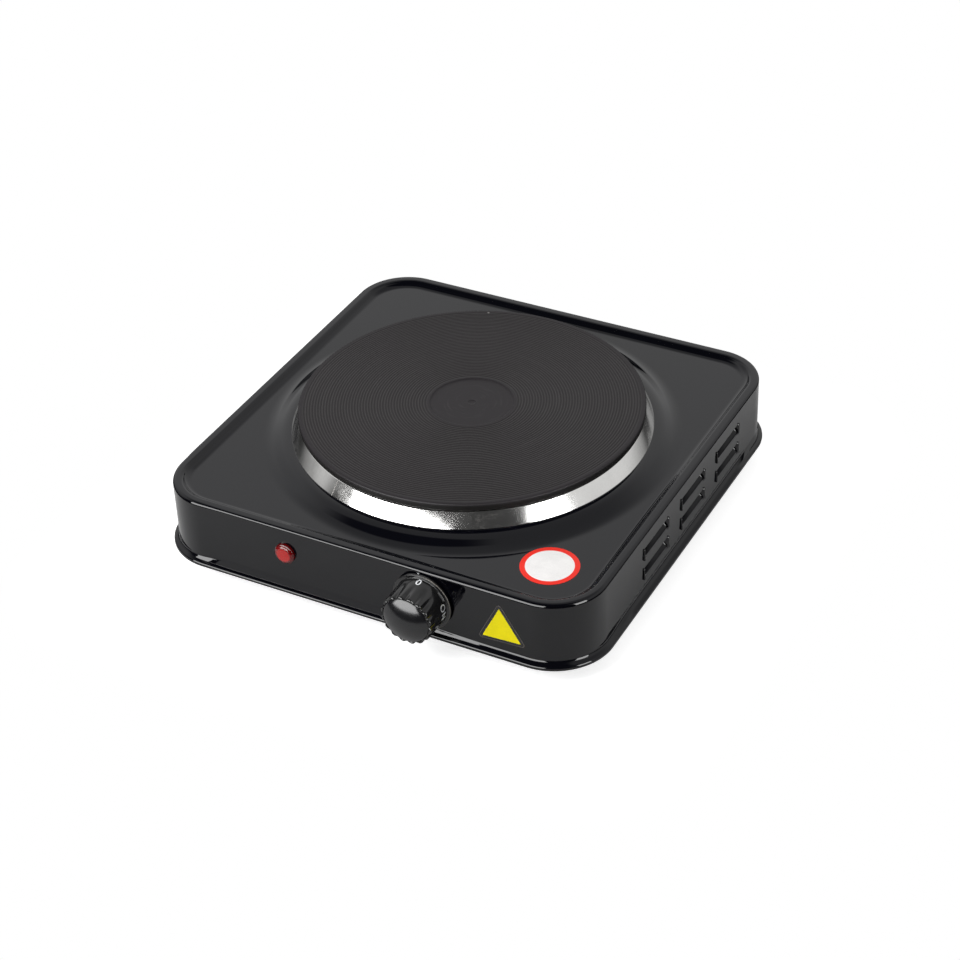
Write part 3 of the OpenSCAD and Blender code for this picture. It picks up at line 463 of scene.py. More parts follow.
def stainlessMaterial():
    s = steelLook
    material, tree, shader = newMaterial("polishedStainless")
    place = objectCoords(tree, centre)
    polar = useGroup(tree, polarGroup, Vector=place)
    lines = stretchedNoise(tree, polar["Rolled"], (2500.0, 60.0, 2500.0))
    smear = stretchedNoise(tree, polar["Rolled"], (90.0, 900.0, 60.0), 3.0, 0.6)
    spots = stretchedNoise(tree, polar["Rolled"], (260.0, 1500.0, 420.0), 4.0, 0.7)
    shade, rough, _ = addTone(tree, place, s["base"], 60.0, 700.0, 0.05, s["roughness"], 0.03)
    seam = mapRange(tree, distance(tree, polar["Angle"], s["seamAngle"]), s["seamWidth"], s["seamWidth"] * 0.3)
    # Finger marks are strongest behind the seam, where the ring was handled
    handled = mapRange(tree, polar["Angle"], s["seamAngle"] + 0.16, s["seamAngle"] - 0.05, 0.25, 1.0)
    dull = times(tree, mapRange(tree, smear, 0.42, 0.72), 0.5, handled)
    # Painted reflection: a mottled darker patch round the side of the ring that faces the camera, standing in for the
    # dark camera side reflected there, with smudgy spots and a little more roughness
    darkReflectionAway = distance(tree, polar["Angle"], s["darkReflectionAngle"])
    darkReflection = times(tree, mapRange(tree, darkReflectionAway, s["darkReflectionWidth"] * 2.2, s["darkReflectionWidth"]),
                   mapRange(tree, spots, 0.5, 0.62))
    for mask, tint in ((dull, s["worn"]), (times(tree, darkReflection, 0.75), s["darkReflectionTint"]), (seam, s["seam"])):
        shade = mixColour(tree, mask, shade, tint)
    for mask, share in ((dull, 0.3), (darkReflection, 0.12), (seam, 0.3)):
        rough = plus(tree, rough, times(tree, mask, share))
    finishShader(tree, shader, shade, rough, bumpNode(tree, lines, 0.5, 0.00001), {"Metallic": 1.0})
    return material


def plasticMaterial(name, base, roughness, spread=0.04, grain=0.000004, scale=1800.0):
    material, tree, shader = newMaterial(name)
    shade, rough, height = addTone(tree, objectCoords(tree), base, 90.0, scale, 0.12, roughness, spread)
    finishShader(tree, shader, shade, rough, bumpNode(tree, height, 0.7, grain))
    return material, tree, shader


# Metals: spangled zinc, or a drawn grain
def metalMaterial(name, base, roughness, spangled=False):
    material, tree, shader = newMaterial(name)
    place = objectCoords(tree)
    shade, rough, height = addTone(tree, place, base, 70.0, 1600.0, 0.12, roughness, 0.08)
    if spangled:
        cells = splitColour(tree, cellNode(tree, place, 130.0)["Color"])
        shade = mixColour(tree, times(tree, cells[0], 0.35), shade, [c * 0.72 for c in base])
        rough = plus(tree, rough, times(tree, cells[1], 0.14))
    else:
        height = stretchedNoise(tree, place, (300.0, 2500.0, 2500.0))
    finishShader(tree, shader, shade, rough, bumpNode(tree, height, 0.5, 0.000008), {"Metallic": 1.0})
    return material


enamel = enamelMaterial()
stainless = stainlessMaterial()
knobInsert = plasticMaterial("knobInsert", (0.008, 0.008, 0.0095), 0.17, 0.02)[0]
rubber = plasticMaterial("blackRubber", (0.022, 0.022, 0.022), 0.72, 0.08, 0.00003, 1400.0)[0]
softBlack = plasticMaterial("blackNylon", (0.02, 0.02, 0.02), 0.42, 0.08, 0.00001, 1600.0)[0]
zinc = metalMaterial("galvanisedSteel", (0.6, 0.61, 0.62), 0.34, spangled=True)
print("materials ready")


# Angles in degrees, distances in metres; the lamps aim at the same height as the camera
cameraSet = {
    "azimuth": 29.158, "elevation": 34.605, "roll": -2.462, "distance": 1.2446, "lens": 86.99, "sensor": 36.0,
    "shiftX": 0.0069, "shiftY": -0.0447, "aimHeight": 0.030,
}


def makeCamera():
    s = cameraSet
    a, e, t = radians(s["azimuth"]), radians(s["elevation"]), radians(s["roll"])
    back = Vector((sin(a) * cos(e), -cos(a) * cos(e), sin(e)))
    right = (-back).cross(Vector((0, 0, 1))).normalized()
    up = right.cross(-back)
    side, top = right * cos(t) + up * sin(t), up * cos(t) - right * sin(t)
    data = bpy.data.cameras.new("camera")
    data.lens, data.sensor_width, data.shift_x, data.shift_y = s["lens"], s["sensor"], s["shiftX"], s["shiftY"]
    data.clip_start, data.clip_end = 0.05, 20
    camera = addObject("camera", data)
    place = centre + Vector((0, 0, s["aimHeight"])) + back * s["distance"]
    camera.matrix_world = Matrix.Translation(place) @ Matrix((side, top, back)).transposed().to_4x4()
    bpy.context.scene.camera = camera


# The two soft boxes are only seen in gloss; the key and fill lamps and the walls light the colours
lampSet = {
    "softBoxLeft": {
        "azimuth": -107, "elevation": 14, "distance": 1.3, "size": (1.44, 0.82), "power": 34.0, "gloss": True},
    "softBoxRight": {
        "azimuth": -18, "elevation": 15, "distance": 1.3, "size": (0.46, 0.8), "power": 11.0, "gloss": True},
    "key": {"azimuth": -112, "elevation": 44, "distance": 1.6, "size": (0.9, 0.9), "power": 22.0, "gloss": False},
    "fill": {"azimuth": 20, "elevation": 55, "distance": 1.7, "size": (1.6, 1.6), "power": 5.0, "gloss": False},
}


def makeLamps():
    target = centre + Vector((0, 0, cameraSet["aimHeight"]))
    for name, s in lampSet.items():
        a, e = radians(s["azimuth"]), radians(s["elevation"])
        away = Vector((cos(a) * cos(e), sin(a) * cos(e), sin(e)))
        data = bpy.data.lights.new(name, "AREA")
        data.shape, data.size, data.size_y, data.energy = "RECTANGLE", s["size"][0], s["size"][1], s["power"]
        lamp = addObject(name, data)
        turn = away.to_track_quat("Z", "Y").to_matrix().to_4x4()
        lamp.matrix_world = Matrix.Translation(target + away * s["distance"]) @ turn
        lamp.visible_glossy, lamp.visible_transmission = s["gloss"], s["gloss"]
        lamp.visible_diffuse = not s["gloss"]


worldSet = {
    "back": 0.9, "right": 0.74, "left": 0.6, "front": 0.04, "overhead": 0.47, "horizon": 0.4, "below": 0.03,
}


# Pale walls behind and beside the object, dimmer overhead, dark round the camera, white straight behind
def makeWorld():
    s = worldSet
    world = bpy.data.worlds.new("studio")
    bpy.context.scene.world = world
    world.use_nodes = True
    tree = world.node_tree
    x, y, z = splitVector(tree, addNode(tree, "ShaderNodeTexCoord")["Generated"])
    sides = mapRange(tree, x, 0.05, 0.55, s["back"], s["right"], "SMOOTHSTEP")
    leftSide = mapRange(tree, x, -0.98, -0.75, s["left"], sides, "SMOOTHSTEP")
    walls = mapRange(tree, y, -0.5, -0.25, s["front"], leftSide, "SMOOTHSTEP")
    low = times(tree, walls, mapRange(tree, z, 0.0, 0.22, s["horizon"], 1.0, "SMOOTHSTEP"))
    ceiling = mapRange(tree, y, 0.0, 0.09, s["front"], s["overhead"], "SMOOTHSTEP")
    upper = mapRange(tree, z, 0.62, 0.86, low, ceiling, "SMOOTHSTEP")
    level = mapRange(tree, z, -0.03, 0.03, s["below"], upper)
    seen = addNode(tree, "ShaderNodeLightPath")["Is Camera Ray"]
    shown = mixColour(tree, seen, greyColour(tree, level), (1, 1, 1))
    link(tree, shown, tree.nodes["Background"].inputs["Color"])


floorSet = {
    "half": 0.205, "corner": 0.09, "under": 0.0002, "colour": 0.7, "mottle": 0.015, "lift": 0.74, "fadeFrom": 0.13,
    "fadeTo": 0.2,
}


# A white board under the object; past its edge only the white background is seen
def makeFloor():
    s = floorSet
    material, tree, shader = newMaterial("whiteBoard")
    tree.nodes.remove(shader)
    place = objectCoords(tree)
    tone = mapRange(tree, noiseNode(tree, place, 40.0), 0.3, 0.7, s["colour"] - s["mottle"], s["colour"] + s["mottle"])
    paint = addNode(tree, "ShaderNodeBsdfDiffuse", {"Color": greyColour(tree, tone)})[0]
    glow = addNode(tree, "ShaderNodeEmission", {"Strength": s["lift"]})[0]
    both = addNode(tree, "ShaderNodeAddShader", (paint, glow))[0]
    x, y, z = splitVector(tree, place)
    square = mathNode(tree, "MAXIMUM", mathNode(tree, "ABSOLUTE", x), mathNode(tree, "ABSOLUTE", y))
    away = mapRange(tree, square, s["fadeFrom"], s["fadeTo"], kind="SMOOTHSTEP")
    shown = mixShader(tree, away, both, addNode(tree, "ShaderNodeEmission")[0])
    final = mixShader(tree, addNode(tree, "ShaderNodeLightPath")["Is Camera Ray"], paint, shown)
    link(tree, final, tree.nodes["Material Output"].inputs["Surface"])
    edge = roundRectangle(s["half"], s["half"], s["corner"], 12)
    verts = [(p.x, p.y, -s["under"]) for p in edge]
    floor = makeObject("floorBoard", verts, [list(range(len(edge)))], material, smooth=False)


makeCamera()
makeLamps()
makeWorld()
makeFloor()
bpy.context.scene.view_settings.view_transform = "Standard"
print("camera and stage ready")


# The pressed body, in mm
bodySet = {
    "cornerRadius": 29.0, "cornerSteps": 36, "hemUnder": 2.5, "hemRound": 0.3, "sheet": 0.8, "rowInset": 0.4,
    "columnStep": 4.0, "plainSteps": 40,
    # Each lip is a list of (way out, height, bend radius)
    "lipTight": [(3.0, 1.9, 1.3), (0.9, 2.2, 0.15), (0.0, 6.6, 8.0)],
    "lipWide": [(3.0, 1.9, 1.3), (1.0, 2.9, 0.15), (0.0, 3.9, 2.2)],
    "lipCone": [(3.0, 1.6, 0.9), (1.55, 3.65, 0.15), (0.0, 5.6, 2.0)], "coneStart": 25.0,
    "rim": 38.7, "edgeTight": 1.35, "edgeWide": 2.1, "rimWidth": 4.9, "slopeWidth": 2.4, "drop": 2.9, "rimBend": 2.4,
    "deckBend": 5.0, "deckStart": 2.5, "bossFoot": 109.2, "bossTop": 99.7, "bossRise": 4.6, "bossBend": 16.2,
    "bossHole": 90.5, "bossStart": 4.1,
    # Where the bends widen, as (place, distance) along the front, and the share drawn wide along the right side
    "widenRight": (-5, 80), "widenSplit": -60, "widenLeft": (-75, 30), "sideShare": 0.4, "sideOver": 30,
    "reachRight": 40, "reachLeft": 12,
}
# The vent strips, in mm
ventSet = {
    "press": 0.35, "tilt": 4.3, "length": 31.0, "height": 6.8, "ramp": 3.2, "pitch": 46.5, "rowPitch": 12.2, "z": 14.4,
    "y": 10.0, "columns": 3, "rows": 2, "across": 6, "rampSteps": 8,
}
deck = bodySet["rim"] - bodySet["drop"]


# The stretches that vents take up, from the first one's middle, their length and their pitch
def stretches(first, length, pitch, steps):
    return [(first + k * pitch - length / 2, first + k * pitch + length / 2) for k in steps]


ventSpans = stretches(ventSet["y"], ventSet["length"], ventSet["pitch"], (-1, 0, 1))
ventRows = stretches(ventSet["z"], ventSet["height"], ventSet["rowPitch"], (0, 1))


def smooth(value):
    t = min(1.0, max(0.0, value))
    return t * t * (3 - 2 * t)


# How wide the bends are drawn: tight at the back and the front's left part, wide round the front's right part
def bendWidth(point, straight):
    s = bodySet
    if point.y < -straight:
        if point.x > s["widenSplit"]:
            return smooth((point.x - s["widenRight"][0]) / s["widenRight"][1])
        return smooth((s["widenLeft"][0] - point.x) / s["widenLeft"][1])
    base = s["sideShare"] * smooth((straight - point.y) / s["sideOver"]) if point.x > 0 else 0.0
    reach = s["reachRight"] if point.x > 0 else s["reachLeft"]
    return base + (1 - base) * smooth((reach - straight - point.y) / reach)


# Columns round the body: each gives a point on the wall's outer face, the way outward, its place along a
# vented side, how wide the bends are drawn there, and how far the lip is drawn out to a plain cone
def bodyColumns():
    s = bodySet
    radius, straight = s["cornerRadius"], wallHalf - s["cornerRadius"]
    marks = sorted({-straight, straight} | {v for span in ventSpans for v in span})
    sides = []
    for a, b in zip(marks, marks[1:]):
        steps = max(1, ceil((b - a) / s["columnStep"]))
        sides += [a + (b - a) * k / steps for k in range(steps)]
    plain = [-straight + 2 * straight * k / s["plainSteps"] for k in range(s["plainSteps"])]
    columns = []

    def add(point, way, t):
        nearEnd = min(straight - point.y, point.y + straight)
        cone = smooth(nearEnd / s["coneStart"]) if way.x > 0.99 else 0.0
        columns.append((point, way, t, bendWidth(point, straight), cone))

    for turn in range(4):
        run = sides if turn == 0 else [-v for v in reversed(sides[1:] + [straight])] if turn == 2 else plain
        spin = Matrix.Rotation(turn * pi / 2, 2)
        for t in run:
            add(spin @ Vector((wallHalf, t)), spin @ Vector((1, 0)), t if turn == 0 else -t if turn == 2 else None)
        for k in range(s["cornerSteps"]):
            a = k / s["cornerSteps"] * pi / 2
            way = Vector((cos(a), sin(a)))
            add(spin @ (Vector((straight, straight)) + way * radius), spin @ way, None)
    return columns


# The wall's outline from the hem to the deck, with rows at the vents' edges
def bodyRows(lip, edge):
    s = bodySet
    inner = -s["rimWidth"] - s["slopeWidth"]
    outline = roundOutline([
        (s["hemUnder"], 0), (lipOut, 0, s["hemRound"]), *lip, (0, s["rim"], edge),
        (-s["rimWidth"], s["rim"], s["rimBend"]), (inner, deck, s["deckBend"]), (inner - s["deckStart"], deck)], 9)
    rows = []
    for a, b in zip(outline, outline[1:]):
        rows.append(a)
        if abs(a.x) < 1e-6 and abs(b.x) < 1e-6 and b.y - a.y > 20:
            between = (ventRows[0][1] + ventRows[1][0]) / 2
            levels = [a.y + s["rowInset"], between, b.y - s["rowInset"]] + [z for row in ventRows for z in row]
            rows += [Vector((0, z)) for z in sorted(levels)]
    rows.append(outline[-1])
    return rows


# Whether the cell between two rows and two columns lies in a vent's opening
def isOpening(low, high, left, right):
    if abs(low.x) > 1e-6 or left is None or right is None:
        return False
    along, level = (left + right) / 2, (low.y + high.y) / 2
    return any(a < along < b for a, b in ventSpans) and any(a < level < b for a, b in ventRows)


def makeBody():
    s = bodySet
    columns = bodyColumns()
    rows = bodyRows(s["lipTight"], s["edgeTight"])
    wideRows, coneRows = bodyRows(s["lipWide"], s["edgeWide"]), bodyRows(s["lipCone"], s["edgeTight"])
    top = deck + s["bossRise"]
    foot = s["bossFoot"]
    boss = roundOutline([
        (foot + s["bossStart"], deck), (foot, deck, s["bossBend"]), (s["bossTop"], top, s["bossBend"]),
        (s["bossHole"], top)], 12)
    verts, faces = [], []
    for tight, wide, cone in zip(rows, wideRows, coneRows):
        for point, way, t, width, drawn in columns:
            spot = tight.lerp(wide, width)
            if tight.y < s["rim"] / 2:
                spot = spot.lerp(cone, drawn)
            place = point + way * spot.x
            verts.append(aboutPlate(place.x * mm, place.y * mm, spot.y * mm))
    for ring in boss:
        for point, way, *rest in columns:
            edge = point + way * rows[-1].x
            a = atan2(edge.y, edge.x)
            verts.append(aboutPlate(ring.x * cos(a) * mm, ring.x * sin(a) * mm, ring.y * mm))
    count = len(columns)
    for face in bridgeRings(len(rows) + len(boss), count):
        i, j = divmod(face[0], count)
        if i + 1 >= len(rows) or not isOpening(rows[i], rows[i + 1], columns[j][2], columns[(j + 1) % count][2]):
            faces.append(face)
    body = makeObject("bodyPanel", verts, faces, enamel, 40)
    fixNormals(body)
    giveThickness(body, s["sheet"], even=True)
    fixNormals(body)
    body.data.set_sharp_from_angle(angle=radians(40))
    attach(body, "chassis")
    return body


# One vent strip about its own middle, with +X outward
def ventStripMesh():
    s = ventSet
    half, ramp, high = s["length"] / 2, s["ramp"], s["height"] / 2
    across, steps = s["across"], s["rampSteps"]
    stations = [start + ramp * k / steps for start in (-half, half - ramp) for k in range(steps + 1)]
    verts, faces = [], []
    for y in stations:
        t = smooth((half - abs(y)) / ramp)
        for k in range(across + 1):
            depth = t * (s["press"] + s["tilt"] * k / across)
            verts.append((-depth * mm, y * mm, (-high + 2 * high * k / across) * mm))
    for i in range(len(stations) - 1):
        for k in range(across):
            a = i * (across + 1) + k
            faces.append([a, a + across + 1, a + across + 2, a + 1])
    strip = makeObject("ventStrips", verts, faces, enamel, 60)
    fixNormals(strip)
    return giveThickness(strip, bodySet["sheet"])


# A geometry tree, with the inputs that its modifier sets
def newTree(name, inputs):
    return makeGroup(name, "GeometryNodeTree", [("Geometry", "Geometry", None)] + inputs, [("Geometry", "Geometry")])


def endTree(tree, geometry, target, material):
    whole = addNode(tree, "GeometryNodeRealizeInstances", (geometry,))[0]
    painted = addNode(tree, "GeometryNodeSetMaterial", {"Geometry": whole, "Material": material})[0]
    link(tree, painted, target["Geometry"])
    return tree


def applyTree(obj, tree, values):
    modifier = obj.modifiers.new(tree.name, "NODES")
    modifier.node_group = tree
    for item in tree.interface.items_tree:
        if item.in_out == "INPUT" and item.name in values:
            modifier[item.identifier] = values[item.name]
    return bake(obj)


def pointPlaces(tree):
    return addNode(tree, "GeometryNodeInputPosition")[0]


# Moves points to a Position, or by an Offset
def movePoints(tree, geometry, **moves):
    return addNode(tree, "GeometryNodeSetPosition", {"Geometry": geometry, **moves})[0]


# Copies the incoming mesh over a grid of points, and mirrors the grid to the other side of the body
def ventTree(material):
    tree, source, target = newTree("ventArray", [
        ("Columns", "Int", 3), ("Rows", "Int", 2), ("Column Pitch", "Float", 0.04), ("Row Pitch", "Float", 0.01),
        ("Place", "Vector", None), ("Mirror Place", "Vector", None)])
    sizes = {}
    for count, pitch, axis in (("Columns", "Column Pitch", "X"), ("Rows", "Row Pitch", "Y")):
        sizes["Vertices " + axis] = source[count]
        sizes["Size " + axis] = times(tree, minus(tree, source[count], 1.0), source[pitch])
    # The grid lies flat: its X becomes the body's Y and its Y becomes Z
    x, y, z = splitVector(tree, pointPlaces(tree))
    grid = addNode(tree, "GeometryNodeMeshGrid", sizes)["Mesh"]
    stood = movePoints(tree, grid, Position=joinVector(tree, None, x, y))
    join = tree.nodes.new("GeometryNodeJoinGeometry")
    for name, angle in (("Place", 0.0), ("Mirror Place", pi)):
        inputs = {"Points": stood, "Instance": source["Geometry"], "Rotation": (0, 0, angle)}
        copies = addNode(tree, "GeometryNodeInstanceOnPoints", inputs)[0]
        moved = addNode(tree, "GeometryNodeTransform", {"Geometry": copies, "Translation": source[name]})[0]
        link(tree, moved, join.inputs[0])
    return endTree(tree, join.outputs[0], target, material)


def makeVents():
    s = ventSet
    strip = ventStripMesh()
    y, z = s["y"] * mm, (s["z"] + s["rowPitch"] / 2) * mm
    applyTree(strip, ventTree(enamel), {
        "Columns": s["columns"], "Rows": s["rows"], "Column Pitch": s["pitch"] * mm, "Row Pitch": s["rowPitch"] * mm,
        "Place": aboutPlate(wallHalf * mm, y, z), "Mirror Place": aboutPlate(-wallHalf * mm, y, z)})
    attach(strip, "chassis")


baseSet = {
    "under": 2.4, "thick": 0.8, "gap": 0.05, "bevel": 0.12, "slotLength": 34.0, "slotWidth": 5.0, "slotPitch": 12.0,
    "slotCount": 5, "slotRows": (-55.0, 0.0, 55.0), "footX": 95.0, "footY": 80.0, "footHole": 2.0,
}


# The zinc sheet that closes the body from below, with its rows of cooling slots
def makeBase():
    s = baseSet
    half = wallHalf - bodySet["sheet"] - s["gap"]
    loops = [roundRectangle(half, half, bodySet["cornerRadius"] - bodySet["sheet"], 12)]
    long, high = s["slotLength"] / 2, s["slotWidth"] / 2
    for x in s["slotRows"]:
        for i in range(s["slotCount"]):
            y = (i - (s["slotCount"] - 1) / 2) * s["slotPitch"]
            loops.append(roundRectangle(long, high, high * 0.98, 5, x, y))
    for a, b in cornerSigns:
        middle = Vector((a * s["footX"], b * s["footY"]))
        loops.append([middle + s["footHole"] * Vector((cos(pi * i / 12), sin(pi * i / 12))) for i in range(24)])
    curve = bpy.data.curves.new("basePlate", "CURVE")
    curve.dimensions, curve.fill_mode, curve.bevel_resolution = "2D", "BOTH", 1
    curve.extrude, curve.bevel_depth = (s["thick"] / 2 - s["bevel"]) * mm, s["bevel"] * mm
    curve.offset = -s["bevel"] * mm
    for loop in loops:
        spline = curve.splines.new("POLY")
        spline.points.add(len(loop) - 1)
        for point, spot in zip(spline.points, loop):
            point.co = (spot.x * mm, spot.y * mm, 0, 1)
        spline.use_cyclic_u = True
    mesh = curveMesh(curve)
    mesh.transform(Matrix.Translation(aboutPlate(0, 0, (s["under"] + s["thick"] / 2) * mm)))
    mesh.materials.clear()
    mesh.materials.append(zinc)
    plate = addObject("basePlate", mesh)
    fixNormals(plate)
    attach(plate, "chassis")
    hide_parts("base_plate")


body = makeBody()
makeVents()
makeBase()
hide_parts("body_shell")
print("body ready")


# The cast plate, in mm
plateSet = {
    "edgeRound": 1.0, "pitch": 1.5, "depth": 0.2, "inner": 23.4, "outer": 90.6, "fade": 1.2, "sunk": 0.6,
    "sunkRadius": 22.0, "dimpleRadius": 2.2, "dimpleDepth": 0.35, "neckIn": 4.0, "flangeIn": 2.4, "under": 5.0,
    "ribs": 15.5, "skirt": 16.5, "channels": (24.0, 45.5, 67.0), "channelWidth": 17.5, "boreRadius": 3.0,
    "hubRadius": 9.0, "hubWall": 20.0, "around": 180,
}
castIron = castMaterial()


# Cuts ring grooves into a turned mesh, at an even pitch between two radii
def grooveTree(material):
    tree, source, target = newTree("turnedGrooves", [
        ("Centre", "Vector", None), ("Pitch", "Float", 0.0015), ("Depth", "Float", 0.0001),
        ("Inner Radius", "Float", 0.02), ("Outer Radius", "Float", 0.09), ("Face Height", "Float", 0.06)])
    place, fade = pointPlaces(tree), plateSet["fade"] * mm
    radius = axisDistance(tree, vectorNode(tree, "SUBTRACT", place, source["Centre"]), "z")
    turn = times(tree, mathNode(tree, "DIVIDE", radius, source["Pitch"]), 2 * pi)
    wave = times(tree, minus(tree, 1.0, mathNode(tree, "COSINE", turn)), 0.5)
    shape = mathNode(tree, "POWER", wave, 0.6)
    start = mapRange(tree, radius, source["Inner Radius"], plus(tree, source["Inner Radius"], fade))
    end = mapRange(tree, radius, source["Outer Radius"], minus(tree, source["Outer Radius"], fade))
    fromFace = distance(tree, splitVector(tree, place)[2], source["Face Height"])
    face = mathNode(tree, "LESS_THAN", fromFace, 0.00001)
    cut = times(tree, start, end, times(tree, shape, face), source["Depth"], -1.0)
    grooved = movePoints(tree, source["Geometry"], Offset=joinVector(tree, None, None, cut))
    return endTree(tree, grooved, target, material)


def makePlate():
    s, radius, top = plateSet, plateRadius, plateTop
    hub = (plateLow.z - shellLow.z) / mm
    under, rib, skirt = top - s["under"], top - s["ribs"], top - s["skirt"]
    neck, flange, low = radius - s["neckIn"], radius - s["flangeIn"], top - s["sunk"]
    bore, wall = s["boreRadius"], s["hubWall"]
    # The underside: the stud's bore, its hub and the channels that hold the coils
    outline = [(0, under - 2), (bore, under - 2), (bore, hub), (s["hubRadius"], hub), (s["hubRadius"], under),
               (wall, under), (wall, rib)]
    for start in s["channels"]:
        end = start + s["channelWidth"]
        outline += [(start, rib), (start, under), (end, under), (end, rib)]
    outline[-1] = (end, skirt)
    # The rim, its seat in the ring and the cooking face, with five points to each groove
    outline += [(neck, skirt), (neck, ringTop), (flange, ringTop)]
    outline += roundOutline([
        (flange, ringTop), (radius - 0.25, ringTop + 0.9, 0.3), (radius, ringTop + 1.4, 0.4),
        (radius, top, s["edgeRound"]), (radius - 3.2, top)], 6)[1:]
    steps = int((s["outer"] - s["inner"]) / s["pitch"] * 5)
    outline += [(s["outer"] + 0.6, top)]
    outline += [(s["outer"] - (s["outer"] - s["inner"]) * k / steps, top) for k in range(steps + 1)]
    sunk, dimple, depth = s["sunkRadius"], s["dimpleRadius"], s["dimpleDepth"]
    outline += roundOutline([(sunk + 1.2, top), (sunk + 0.6, top, 0.3), (sunk, low, 0.3), (sunk - 1.0, low)], 3)
    outline += [(12, low), (dimple + 1, low)]
    outline += [(dimple * cos(k * pi / 12), low - depth * sin(k * pi / 12)) for k in range(6)] + [(0, low - depth)]
    plate = lathe("castPlate", outline, s["around"], castIron, aboutPlate, 50)
    applyTree(plate, grooveTree(castIron), {
        "Centre": centre, "Pitch": s["pitch"] * mm, "Depth": s["depth"] * mm, "Inner Radius": s["inner"] * mm,
        "Outer Radius": s["outer"] * mm, "Face Height": plateHigh.z})
    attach(plate, "chassis")
    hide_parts("hot_plate")


ringSet = {"thick": 0.6, "footRoll": 0.5, "topRoll": 1.2, "around": 256}


def makeRing():
    s, top = ringSet, ringTop
    foot, out = (ringLow.z - shellLow.z) / mm, (ringHigh.x - ringLow.x) / 2 / mm
    shoulder, hole = plateRadius - 1.0, plateRadius - plateSet["neckIn"] + 0.2
    roll, inside = foot + s["footRoll"], top - s["thick"]
    outline = roundOutline([
        (out - 0.6, foot + 0.02), (out, foot + 0.02, 0.18), (out - 0.25, roll, 0.3), (shoulder, top, s["topRoll"]),
        (hole, top, 0.1), (hole, inside, 0.1), (shoulder - 0.4, inside, 0.6), (out - 0.85, roll, 0.2)], 7, closed=True)
    ring = lathe("trimRing", outline + outline[:1], s["around"], stainless, aboutPlate, 50)
    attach(ring, "chassis")
    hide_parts("trim_ring")


makePlate()
makeRing()
print("plate and ring ready")


# The knob, in mm
knobSet = {
    "gap": 1.0, "dial": 16.3, "dialFront": 2.35, "neck": 14.45, "grip": 14.2, "gripStart": 3.6, "length": 18.5,
    "cap": 12.6, "dome": 3.4, "flutes": 16, "fluteDepth": 1.35, "fluteStart": 6.2, "endRound": 1.05, "seat": 1.45,
    "bore": 3.05, "boreEnd": 14.2, "hub": 5.6, "hollow": 11.6, "hollowEnd": 14.5, "backRim": 14.6, "backStep": 1.8,
    "rimHighlight": (0.11, 0.1, 0.085), "rimHighlightFrom": 1.0, "rimHighlightTo": 5.0, "around": 256,
}


# Gloss black, with a painted highlight: a thin pale line along the dial's edge, on its right side
def knobMaterial():
    s = knobSet
    material, tree, shader = plasticMaterial("glossPhenolic", (0.012, 0.012, 0.0125), 0.12)
    place = objectCoords(tree, knobAxis)
    x, y, z = splitVector(tree, place)
    # Painted highlight: a pale line on the dial's front edge, only on its right side, with a little more roughness
    # there
    outer = mapRange(tree, axisDistance(tree, place, "y"), (s["dial"] - 0.42) * mm, (s["dial"] - 0.3) * mm)
    front = mapRange(tree, times(tree, y, -1.0), (s["dialFront"] - 0.45) * mm, (s["dialFront"] - 0.3) * mm)
    edge = times(tree, outer, front, mapRange(tree, x, s["rimHighlightFrom"] * mm, s["rimHighlightTo"] * mm))
    paintOver(tree, shader, edge, s["rimHighlight"])
    rough = shader.inputs["Roughness"]
    link(tree, plus(tree, rough.links[0].from_socket, times(tree, edge, 0.25)), rough)
    return material


phenolic = knobMaterial()


# Presses flutes into a turned knob: deepest at its front end and fading toward its dial
def fluteTree(material):
    tree, source, target = newTree("knobFlutes", [
        ("Axis", "Vector", None), ("Flutes", "Float", 16.0), ("Depth", "Float", 0.001), ("Start", "Float", 0.006),
        ("End", "Float", 0.018), ("Inner Radius", "Float", 0.012), ("Outer Radius", "Float", 0.014)])
    local = vectorNode(tree, "SUBTRACT", pointPlaces(tree), source["Axis"])
    x, y, z = splitVector(tree, local)
    radial = acrossAxis(tree, local, "y")
    wave = mathNode(tree, "COSINE", times(tree, mathNode(tree, "ARCTAN2", z, x), source["Flutes"]))
    shape = mathNode(tree, "POWER", times(tree, plus(tree, wave, 1.0), 0.5), 1.6)
    fade = mathNode(tree, "POWER", mapRange(tree, times(tree, y, -1.0), source["Start"], source["End"]), 1.3)
    radius = vectorNode(tree, "LENGTH", radial)
    side = mapRange(tree, radius, source["Inner Radius"], source["Outer Radius"])
    depth = times(tree, shape, fade, times(tree, side, source["Depth"]), -1.0)
    way = vectorNode(tree, "SCALE", vectorNode(tree, "NORMALIZE", radial), scale=depth)
    return endTree(tree, movePoints(tree, source["Geometry"], Offset=way), target, material)


def gripRadius(along):
    s = knobSet
    t = min(1.0, max(0.0, (along - s["dialFront"]) / (s["length"] - s["dialFront"])))
    return s["neck"] - (s["neck"] - s["grip"]) * t


